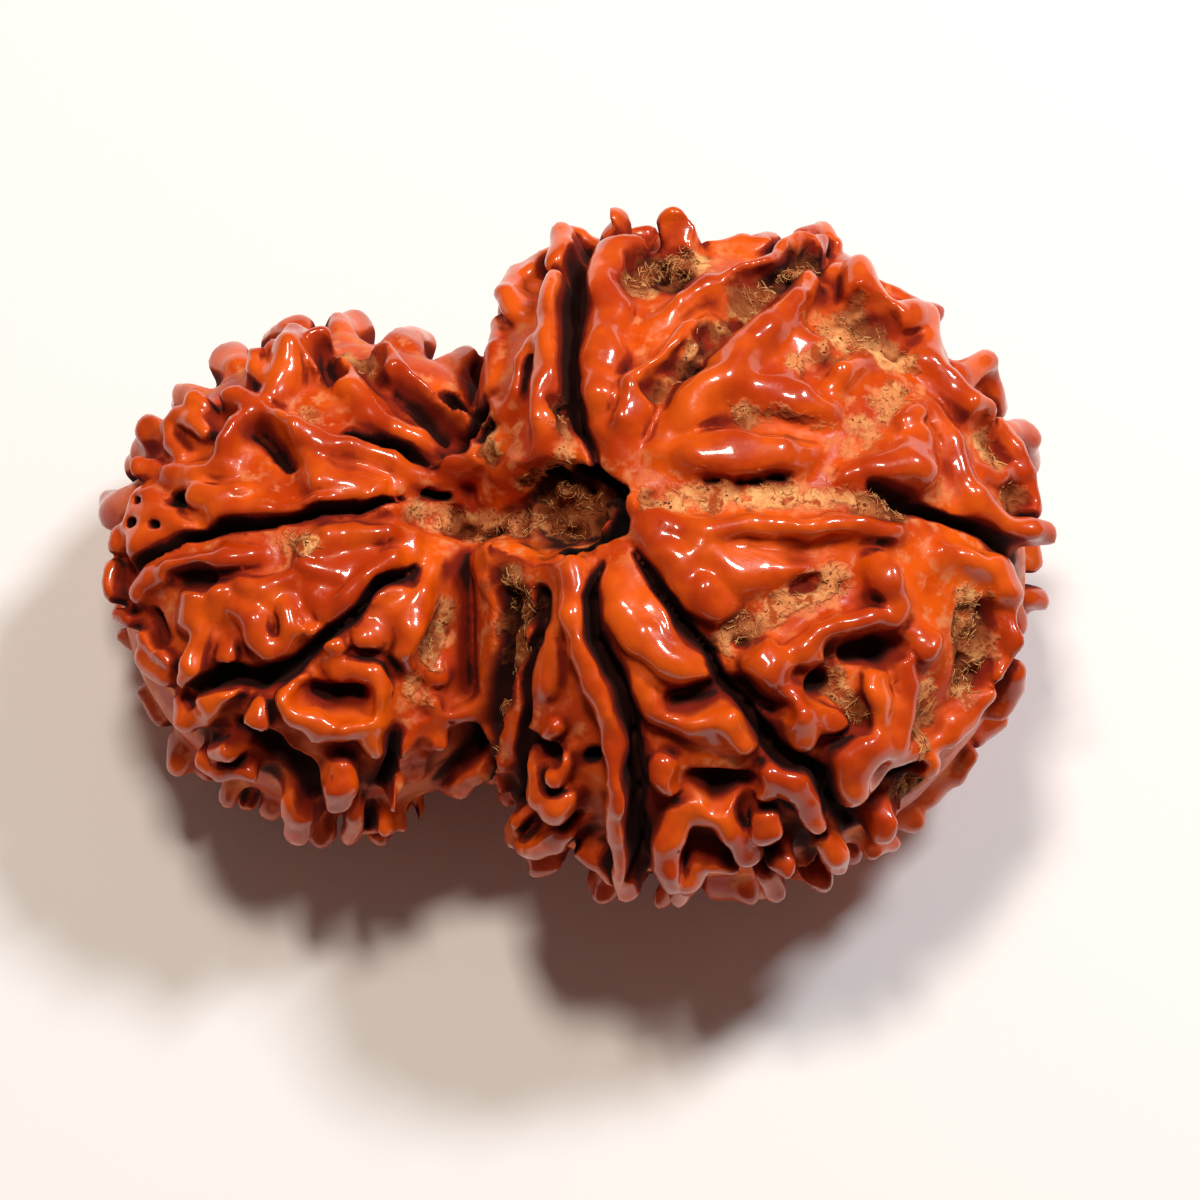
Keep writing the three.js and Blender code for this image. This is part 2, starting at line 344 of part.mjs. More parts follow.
function drawnLine(run) {
  return run.map(([across, up, r]) => ({ at: placeOnPlan(across, up, 0), r }));
}

// The same run on the underside, strayed a little.
function mirrored(lobe, run, phase) {
  return run.map(({ at, r, h }) => {
    const p = new THREE.Vector3(at.x, at.y, 2 * lobe.centre[2] - at.z);
    p.x += undersideDrift * Math.sin(at.y * 0.5 + phase);
    p.y += undersideDrift * Math.cos(at.x * 0.45 + phase);
    return { at: settle(p), r, h };
  });
}

// The part of a mirrored rib that the plan doesn't show.
const hiddenPart = (rib) => rib.filter(({ at }) => outward(at).dot(sight) < unseenBelow);

// Wavy ribs that cross the back rim of a lobe from its upper side to its lower.
function backRibs(lobe, random) {
  const ribs = [];
  const [from, to] = lobe.back;
  const drawFrom = ([least, spread]) => least + spread * random();
  for (let azimuth = from; azimuth <= to; azimuth += backRibSpacing * drawFrom([0.85, 0.3])) {
    const thick = drawFrom(backRibHalfWidth);
    const wave = backRibWave * (random() - 0.5);
    ribs.push([1, 0.35, -0.3, -1].map((share) => {
      const turn = THREE.MathUtils.degToRad(azimuth + wave * Math.sin(3 * share));
      const lift = THREE.MathUtils.degToRad(backRibReach * share);
      const way = new THREE.Vector3(Math.cos(turn) * Math.cos(lift), Math.sin(turn) * Math.cos(lift), Math.sin(lift));
      const at = settle(way.multiply(vector(lobe.radii)).add(vector(lobe.centre)));
      return { at, r: thick * drawFrom([0.8, 0.35]), h: drawFrom(backRibHeight) };
    }));
  }
  return ribs;
}

// Every rib and dividing line of a lobe, on both sides.
function reliefOf(lobe, ribs, lines, random) {
  const above = Object.values(ribs).map(drawnRib);
  const below = above.map((rib, i) => hiddenPart(mirrored(lobe, rib, i * 0.05)));
  const channels = Object.values(lines).map(drawnLine);
  const lower = channels.map((line) => mirrored(lobe, line, 0));
  const all = [...above, ...below, ...backRibs(lobe, random)];
  return { ribs: all.flatMap(stretchesOf), channels: [...channels, ...lower].flatMap(stretchesOf) };
}

// A run's separate stretches, each with its box for quick refusal.
function stretchesOf(run) {
  return run.slice(1).map((end, i) => {
    const start = run[i];
    const box = new THREE.Box3().setFromPoints([start.at, end.at]);
    return { start, end, way: end.at.clone().sub(start.at), box: box.expandByScalar(2 * Math.max(start.r, end.r)) };
  });
}

// How near a point is to a stretch, as a share of its half width there, with the height there and
// the way from the stretch's middle line to the point.
function reach(stretch, p) {
  const { start, end, way } = stretch;
  const offset = p.clone().sub(start.at);
  const share = THREE.MathUtils.clamp(offset.dot(way) / Math.max(way.lengthSq(), 1e-6), 0, 1);
  const width = Math.max(THREE.MathUtils.lerp(start.r, end.r, share) * ribSpread, leastSpread);
  offset.addScaledVector(way, -share);
  return { near: offset.length() / width, h: THREE.MathUtils.lerp(start.h, end.h, share), offset };
}

// Draws a point of the net in towards the crest line of the rib that it belongs to, so that a crest
// runs along edges of the net.
function drawToCrest(p, ribs) {
  let nearest = { near: 1 };
  for (const stretch of ribs) {
    if (!stretch.box.containsPoint(p)) continue;
    const found = reach(stretch, p);
    if (found.near < nearest.near) nearest = found;
  }
  return nearest.offset ? p.clone().addScaledVector(nearest.offset, nearest.near ** crestPull - 1) : p;
}

// Height of the relief over the floor: ribs have round tops, and a line is a groove with a round bed.
function reliefHeight(p, ribs, channels) {
  let height = 0;
  for (const stretch of channels) {
    if (!stretch.box.containsPoint(p)) continue;
    const { near } = reach(stretch, p);
    if (near < 1) height = Math.min(height, -lineDepth * (1 - near * near));
  }
  for (const stretch of ribs) {
    if (!stretch.box.containsPoint(p)) continue;
    const { near, h } = reach(stretch, p);
    if (near < 1) height = Math.max(height, h * (1 - near * near));
  }
  return height;
}

// A lobe's skin is a round net. Each of its points slides out along its ray from the lobe's centre
// to the floor, and up from there by the relief.
function lobeGeometry(lobe, { ribs, channels }) {
  const net = new THREE.IcosahedronGeometry(1, lobe.netDetail);
  net.deleteAttribute("normal");
  net.deleteAttribute("uv");
  const geometry = mergeVertices(net, 1e-5);
  const place = geometry.getAttribute("position");
  const distanceFrom = (p) => lobeDistance(lobe, p);
  for (let i = 0; i < place.count; i++) {
    const way = new THREE.Vector3().fromBufferAttribute(place, i);
    way.z += netCrowding * (1 - way.z * way.z);
    way.multiply(vector(lobe.radii)).normalize();
    const on = (distance) => vector(lobe.centre).addScaledVector(way, distance);
    let [inner, outer] = [0, farOut];
    for (let step = 0; step < halvings; step++) {
      const middle = (inner + outer) / 2;
      if (distanceFrom(on(middle)) < 0) inner = middle;
      else outer = middle;
    }
    const ground = drawToCrest(on(inner), ribs);
    way.copy(ground).sub(vector(lobe.centre));
    const groundDistance = way.length();
    way.normalize();
    const height = reliefHeight(ground, ribs, channels) / Math.max(outward(ground, distanceFrom).dot(way), leastRise);
    const downTo = way.z < 0 ? -lobe.centre[2] / way.z : Infinity;
    const foot = way.z < 0 ? footReach(ground) : 0;
    const { x, y, z } = on(Math.min(groundDistance + Math.max(height, foot), downTo));
    place.setXYZ(i, x, y, z);
  }
  return geometry;
}

// How far a foot stands down from the floor at a place.
function footReach(ground) {
  const nearest = Math.min(...feet.map(([x, y]) => Math.hypot(ground.x - x, ground.y - y))) / footRadius;
  return nearest < 1 ? footHeight * Math.sqrt(1 - nearest * nearest) : 0;
}

const wasm = await Module();
wasm.setup();

function solid(geometry) {
  return new wasm.Manifold(new wasm.Mesh({
    numProp: 3,
    vertProperties: new Float32Array(geometry.getAttribute("position").array),
    triVerts: new Uint32Array(geometry.index.array),
  }));
}

function geometryFrom(manifold) {
  const { vertProperties, triVerts } = manifold.getMesh();
  const geometry = new THREE.BufferGeometry();
  geometry.setAttribute("position", new THREE.Float32BufferAttribute([...vertProperties], 3));
  geometry.setIndex([...triVerts]);
  geometry.computeVertexNormals();
  return geometry;
}

const random = chance(seedOfChance);
const largeRelief = reliefOf(largeLobe, largeRibs, largeLines, random);
const smallRelief = reliefOf(smallLobe, smallRibs, smallLines, random);
const joined = solid(lobeGeometry(largeLobe, largeRelief)).add(solid(lobeGeometry(smallLobe, smallRelief)));

const skin = new THREE.MeshStandardMaterial({ color: 0xb5430f, roughness: 0.32, metalness: 0 });
const seed = new THREE.Mesh(geometryFrom(joined), skin);
seed.name = "rudraksha_seed";
seed.position.set(...middleShift, 0);

const group = new THREE.Group();
group.add(seed);

export default group;
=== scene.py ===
# A rudraksha seed in Blender: a naturally joined twin, with glossy orange-brown ribs over a tan,
# fibrous floor, dividing grooves darkened with painted shade, and fibres left in the hollows.
# Lengths in this file are millimetres until a mesh is made, which is in metres.

import bpy
import math
import numpy as np
import openvdb
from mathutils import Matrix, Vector


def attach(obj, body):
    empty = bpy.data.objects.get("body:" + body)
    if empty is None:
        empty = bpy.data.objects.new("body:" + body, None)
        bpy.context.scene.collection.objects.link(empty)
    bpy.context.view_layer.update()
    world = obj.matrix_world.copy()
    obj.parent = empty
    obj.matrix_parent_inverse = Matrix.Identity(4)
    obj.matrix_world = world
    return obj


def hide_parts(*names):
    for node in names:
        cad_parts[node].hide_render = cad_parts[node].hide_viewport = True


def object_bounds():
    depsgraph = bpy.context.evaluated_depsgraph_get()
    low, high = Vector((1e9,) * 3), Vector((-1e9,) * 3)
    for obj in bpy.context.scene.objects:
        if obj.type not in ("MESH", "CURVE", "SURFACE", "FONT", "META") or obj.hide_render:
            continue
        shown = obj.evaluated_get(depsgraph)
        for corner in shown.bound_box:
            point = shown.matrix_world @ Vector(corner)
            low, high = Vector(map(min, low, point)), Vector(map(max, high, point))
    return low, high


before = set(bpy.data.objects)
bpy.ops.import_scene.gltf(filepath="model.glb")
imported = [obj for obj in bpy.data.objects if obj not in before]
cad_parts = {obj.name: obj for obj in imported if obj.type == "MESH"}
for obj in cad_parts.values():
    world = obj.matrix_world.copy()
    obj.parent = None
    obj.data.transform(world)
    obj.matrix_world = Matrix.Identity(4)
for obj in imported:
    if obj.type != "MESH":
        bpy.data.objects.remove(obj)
cadLow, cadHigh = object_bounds()
print("frame loaded")

# The floor that the ribs rise from, on each of the two lobes, and the azimuths that the back ribs span.
floorRise = 1.6
lobeY = -0.2
largeLobe = {"centre": [4.7, lobeY, floorRise + 7.6], "radii": [11.9, 11.9, 7.6], "flatX": -3.3,
    "back": [20, 128]}
smallLobe = {"centre": [-8.5, lobeY, floorRise + 5.8], "radii": [8.4, 8.8, 5.8], "flatX": -1.7,
    "back": [60, 165]}
form = {
    "middleShift": [0.05, 0.32],     # from the drawn middle to the middle of the box
    "flatRound": 3.0,                # rounding where a lobe is flattened against the other
    "largePole": [0.5, -0.6], "smallPole": [-5.0, 0.2],
    "hollowRadius": 1.5, "hollowDepth": 0.8, "hollowBlend": 0.7,
    "sightAngle": 72.0,              # the ribs are drawn on a plan seen at this elevation
    "feet": [[7, 3.6], [7, -4.2], [-8.6, lobeY]], "footRadius": 1.15, "footBottom": 0.9, "footTop": 3,
    "slopeStep": 0.02,               # the step that slopes are worked out with
}

# Each rib is a run of points: across and up on the plan, half width, and height over the floor.
largeRibs = {
    "foldRim": [[-2.6, 2.6, 0.75, 0.9], [-1.5, 3.5, 0.5, 1.2], [-1.2, 5, 0.5, 1.6], [-1.1, 6.6, 0.5, 1.7],
        [-0.9, 8.2, 0.55, 1.8], [-0.95, 9.4, 0.6, 2], [-0.85, 10.5, 0.45, 2]],
    "foldTip": [[-0.7, 11.2, 0.5, 1.8], [-0.7, 12.3, 0.45, 2.1]],
    "foldBack": [[-1.2, 12.1, 0.6, 1.4], [-0.6, 12.8, 0.6, 1.8]],
    "foldLeftEdge": [[-1.3, 8.2, 0.4, 1.5], [-2, 7.3, 0.35, 1.4], [-2.3, 6.2, 0.35, 1.2],
        [-2.9, 5.4, 0.35, 0.9]],
    "shoulderKnob": [[-1.9, 11.5, 0.45, 1.5], [-2.6, 11, 0.5, 1.7], [-2.8, 10.1, 0.45, 1.6],
        [-2.5, 9.2, 0.45, 1.2]],
    "shoulderBranch": [[-1.9, 11, 0.4, 1.4], [-1.3, 11.4, 0.35, 1.4]],
    "sideRib": [[-3.1, 8.8, 0.4, 0.9], [-3.4, 7.6, 0.35, 1.1], [-3.5, 6.3, 0.35, 1]],
    "westFlank": [[0.8, 4.9, 0.7, 1], [0.75, 5.9, 0.7, 1.5], [0.8, 7.2, 0.7, 1.4], [0.9, 8.4, 0.7, 1.4],
        [1.2, 9.4, 0.6, 1.4]],
    "westRib": [[1.5, 4, 0.5, 1], [1.7, 4.9, 0.55, 1.4], [2.2, 6.2, 0.6, 1.5], [3.4, 7.4, 0.65, 1.6],
        [4.6, 8.3, 0.6, 1.5], [5, 8.7, 0.5, 1.2]],
    "northCurl": [[1.1, 9.6, 0.7, 1.5], [1.05, 10.6, 0.65, 1.7], [1.1, 11.5, 0.55, 1.6],
        [2.2, 11.7, 0.5, 1.6], [3.1, 11.4, 0.75, 1.9]],
    "northKnobWest": [[1.2, 12.4, 0.6, 1.8], [1.15, 13, 0.58, 2.4]],
    "northKnobEast": [[3.6, 12, 0.7, 1.7], [3.55, 12.8, 0.75, 2.4]],
    "northBack": [[1.9, 12.4, 0.3, 1.2], [2.6, 12.5, 0.3, 1.2]],
    "pitSill": [[2.9, 8.7, 0.4, 0.8], [4, 9.3, 0.45, 1], [5, 10, 0.5, 1.2]],
    "topSausage": [[5.2, 10.1, 0.7, 1.3], [6.3, 10.4, 0.8, 1.8], [7.4, 11, 0.7, 1.8],
        [8.4, 11.7, 0.6, 1.7], [9.1, 11.9, 0.55, 1.5]],
    "topBackWest": [[5, 11.6, 0.4, 0.8], [6.2, 11.7, 0.4, 0.9], [7.1, 11.8, 0.4, 1.2]],
    "topBackEast": [[8.5, 12.3, 0.4, 1.6], [9.3, 12.4, 0.4, 1.7], [9.7, 11.8, 0.35, 1.4]],
    "spine": [[3.3, 4.6, 0.6, 1], [4.2, 5.4, 0.85, 1.6], [5.2, 6.6, 0.9, 1.7], [6.2, 7.7, 0.7, 1.6],
        [7.1, 8.6, 0.6, 1.7], [8.1, 9.7, 0.6, 1.7], [8.8, 10.3, 0.5, 1.4]],
    "innerDome": [[3, 3.9, 0.6, 0.9], [4.3, 3.9, 0.8, 1.5], [5.8, 3.9, 0.9, 1.7], [7.2, 3.8, 0.85, 1.6],
        [8.3, 3.7, 0.6, 1.1]],
    "spineBranch": [[5.5, 6.4, 0.6, 1.3], [6.8, 6.1, 0.6, 1.2], [8, 5.9, 0.5, 1.3],
        [9.3, 5.4, 0.45, 1.2]],
    "finger": [[9.2, 5.9, 0.4, 0.9], [9.8, 6.7, 0.42, 1.3], [10.6, 7.4, 0.35, 0.9]],
    "nub": [[8, 8, 0.35, 0.9], [8.8, 7.7, 0.35, 0.8]],
    "hook": [[9.6, 10.9, 0.6, 1.4], [10.6, 10.9, 0.75, 1.8], [10.9, 10, 0.8, 1.9], [11.6, 9.3, 0.7, 1.8],
        [12.6, 9, 0.6, 1.6], [13.2, 9.1, 0.5, 1.5]],
    "eastShoulder": [[13.3, 8.6, 0.55, 1.3], [13.3, 7.5, 0.7, 1.3], [13.8, 6.6, 0.65, 1.3],
        [14.7, 5.7, 0.5, 1.6], [15.4, 5.5, 0.45, 1.7]],
    "backShelf": [[11.5, 11.1, 0.35, 0.9], [12.4, 10.4, 0.35, 0.9], [13.1, 9.9, 0.35, 1]],
    "dome": [[10.2, 3, 0.6, 1], [11.4, 3.1, 0.9, 1.5], [12.5, 3.4, 1.05, 1.9], [12.6, 4.3, 0.7, 1.4]],
    "domeKnob": [[12.1, 5, 0.5, 1.3], [12.5, 5.4, 0.55, 1.4]],
    "domeOuter": [[13.2, 5.4, 0.45, 1.1], [13.9, 4.3, 0.5, 1.2], [14.3, 3.2, 0.5, 1.2],
        [14.8, 2.2, 0.55, 1.3], [15.8, 1.4, 0.5, 1.3], [16.9, 1, 0.5, 1.7], [17.6, 0.85, 0.5, 2]],
    "eastRim": [[15.7, 5, 0.4, 1.2], [16.3, 4.2, 0.45, 1.2], [16.9, 3, 0.45, 1.3], [17.2, 1.9, 0.4, 1.3]],
    "pitBar": [[14.9, 2.9, 0.3, 0.7], [15.8, 3.1, 0.4, 0.9], [16.7, 3, 0.4, 1]],
    "longRib": [[2.3, 1.9, 0.45, 0.9], [3.4, 1.1, 0.5, 1.2], [4.9, 0.9, 0.5, 1.5], [6.6, 1.05, 0.4, 1.6],
        [8.5, 1.15, 0.38, 1.6], [10.4, 1.05, 0.38, 1.5], [11.7, 0.8, 0.35, 1.1]],
    "wedgeEdge": [[2.3, 1, 0.5, 0.9], [3.1, 0.1, 0.55, 1.3], [3.9, -0.8, 0.65, 1.6],
        [4.6, -1.5, 0.75, 1.7], [5.1, -1.9, 0.6, 1.4]],
    "wedgeTop": [[4.4, 0.2, 0.7, 1.4], [5.6, -0.6, 0.8, 1.3], [7.2, -0.4, 0.6, 1.1],
        [8.5, -0.5, 0.45, 1]],
    "midKnob": [[11, -0.3, 0.5, 1.2], [11.4, -1, 0.6, 1.7], [11.8, -1.8, 0.6, 1.6]],
    "midArch": [[11.7, -2.1, 0.5, 1.6], [10.8, -2.3, 0.4, 1.6], [9.7, -2.6, 0.4, 1.5],
        [8.7, -2.9, 0.45, 1.4], [8.2, -3.6, 0.5, 1.4]],
    "midBead": [[9, -3, 0.4, 1.4], [9.1, -3.9, 0.4, 1.4]],
    "roundKnob": [[6.8, -3.9, 0.8, 1.7], [7, -4.2, 0.95, 1.9]],
    "midTooth": [[7.3, -4.7, 0.55, 1.3], [7.9, -5.2, 0.6, 1.4], [8.3, -6, 0.8, 1.8],
        [8.5, -6.9, 0.5, 1.6]],
    "midToothArm": [[8.6, -6, 0.6, 1.5], [9.5, -6.1, 0.45, 1.2]],
    "archKnob": [[12.4, -2.8, 0.5, 1.1], [13.1, -3.2, 0.6, 1.6]],
    "eastFold": [[11.9, -3.9, 0.5, 1.1], [12.3, -4.8, 0.45, 1.3], [12.1, -5.9, 0.45, 1.4],
        [11.7, -6.9, 0.55, 1.5], [10.9, -7, 0.7, 1.8], [10.3, -7.9, 0.75, 1.9], [10.3, -8.9, 0.6, 1.8]],
    "eastBulge": [[10.9, -4.5, 0.5, 1.2], [11.1, -5.4, 0.6, 1.6], [11.2, -6.3, 0.55, 1.5]],
    "eyeRing": [[11.7, -7.3, 0.4, 1.2], [12.6, -7.2, 0.45, 1.3], [13.2, -7.9, 0.45, 1.4],
        [13.1, -8.8, 0.45, 1.4], [12.4, -9.5, 0.5, 1.4], [11.7, -9.8, 0.6, 1.5],
        [11.5, -10.4, 0.55, 1.6]],
    "eyeFoot": [[12, -11, 0.35, 1.2], [11.1, -11.2, 0.35, 1.2]],
    "outerLobes": [[13.4, -0.1, 0.4, 1], [14.4, -0.1, 0.45, 1.3], [15.5, -0.5, 0.55, 1.4],
        [16.2, -1.3, 0.7, 1.7], [16, -2.4, 0.6, 1.4], [16.1, -3.3, 0.65, 1.7], [15.6, -4.3, 0.45, 1.3]],
    "outerSill": [[15.2, -5.2, 0.5, 1.1], [14.8, -6, 0.5, 1.1], [13.9, -6.6, 0.5, 1.1],
        [13.2, -7, 0.4, 1]],
    "outerKnob": [[16.4, -4.4, 0.5, 1.2], [16.5, -5.2, 0.5, 1.3], [15.9, -6, 0.4, 1]],
    "doubleRibThin": [[1.7, -0.5, 0.4, 0.9], [2.5, -1.6, 0.35, 1.3], [3.5, -2.7, 0.35, 1.4],
        [4.5, -3.7, 0.35, 1.3]],
    "doubleRibThick": [[1.3, -0.9, 0.5, 1], [1.6, -2, 0.6, 1.5], [2.4, -3, 0.7, 1.8],
        [3.5, -3.9, 0.7, 1.8], [4.6, -4.6, 0.5, 1.4]],
    "skirt": [[1.9, -3.6, 0.6, 1.2], [2.3, -4.8, 0.6, 1.2], [3, -5.6, 0.6, 1.3], [4.2, -6.1, 0.5, 1.4],
        [5.5, -6.2, 0.7, 1.7], [6.1, -6.7, 0.6, 1.7]],
    "frontKnob": [[3.2, -7.8, 0.6, 1.6], [3.2, -8.4, 0.6, 1.8]],
    "frontArch": [[6.8, -8.7, 0.45, 1.5], [7.2, -8.1, 0.55, 1.7], [7.9, -8.6, 0.55, 1.7],
        [8.5, -9.3, 0.45, 1.6], [9.1, -10, 0.35, 1.5]],
    "frontBead": [[7, -9.8, 0.55, 1.4], [7.1, -10.4, 0.65, 1.8]],
    "frontWall": [[4.2, -9.6, 0.6, 1.2], [5.2, -9.4, 0.5, 1.3], [5.6, -10.3, 0.5, 1.4],
        [6.4, -11.1, 0.5, 1.4]],
    "frontFinger": [[3.6, -9.7, 0.6, 1.4], [3.2, -10.7, 0.55, 1.7], [3.2, -11.8, 0.5, 1.9],
        [3.4, -12.5, 0.4, 1.9]],
    "frontFingerBehind": [[4.3, -11.5, 0.4, 1.2], [4.1, -12.3, 0.5, 1.6], [3.7, -12.9, 0.4, 1.6]],
    "lowTooth": [[7.3, -11.3, 0.4, 1.3], [7.8, -11.7, 0.4, 1.7]],
    "lowDrop": [[6.9, -11.9, 0.45, 1.1], [7.3, -12.7, 0.45, 1.5]],
    "lowHorn": [[9.1, -10.6, 0.4, 1.3], [9.7, -11.3, 0.5, 1.7], [9.8, -11.8, 0.4, 1.8]],
    "lowShelf": [[8.6, -12.1, 0.4, 1.2], [9.3, -12.6, 0.42, 1.4]],
    "lowSill": [[4.9, -11.5, 0.35, 1], [5.6, -11.7, 0.35, 1]],
    "arch": [[-4, -0.6, 0.4, 0.9], [-3.3, 0, 0.4, 1.2], [-2.2, 0.4, 0.42, 1.2], [-1.1, 0.1, 0.42, 1.2],
        [-0.3, -0.6, 0.45, 1.3]],
    "bowRib": [[-3.9, -0.6, 0.45, 1.1], [-3.4, -1.5, 0.5, 1.6], [-3.3, -2.6, 0.5, 1.8],
        [-3.5, -3.8, 0.5, 1.9], [-3.9, -4.7, 0.55, 2]],
    "frontSpine": [[-0.1, -0.9, 0.55, 1.3], [-0.2, -2.1, 0.6, 1.7], [0, -3.3, 0.55, 1.8],
        [0.5, -4.6, 0.5, 1.8], [1.1, -5.9, 0.5, 1.8], [1.4, -7.2, 0.45, 1.8], [1.5, -8.4, 0.45, 1.8],
        [1.6, -9.4, 0.5, 1.9], [1.5, -10.6, 0.45, 1.8], [1.7, -11.8, 0.45, 1.8], [1.95, -12.8, 0.4, 1.9]],
    "frontSpineFlank": [[0.5, -1.2, 0.4, 1.1], [0.55, -2.6, 0.35, 1.1]],
    "frontLedge": [[-0.9, -3.6, 0.5, 0.9], [-1, -4.8, 0.5, 1]],
    "toothOne": [[-0.8, -6.3, 0.4, 1.4], [-1.2, -6.8, 0.3, 1.3]],
    "toothTwo": [[-0.6, -7.6, 0.5, 1.5], [-0.8, -8.2, 0.4, 1.5]],
    "toothThree": [[-1.6, -7.9, 0.35, 1.1], [-1.5, -9.2, 0.45, 1.4], [-0.9, -9.5, 0.5, 1.7],
        [-0.3, -8.9, 0.35, 1.3]],
    "seamFoot": [[-2.4, -9.9, 0.35, 1.1], [-2.6, -11, 0.45, 1.4], [-1.8, -11.2, 0.4, 1.5],
        [-1, -10.8, 0.4, 1.4], [-0.3, -10.3, 0.3, 1.2]],
    "seamFringe": [[0, -11, 0.3, 0.9], [0.7, -11.5, 0.3, 1], [1.2, -12.1, 0.3, 1.1]],
}

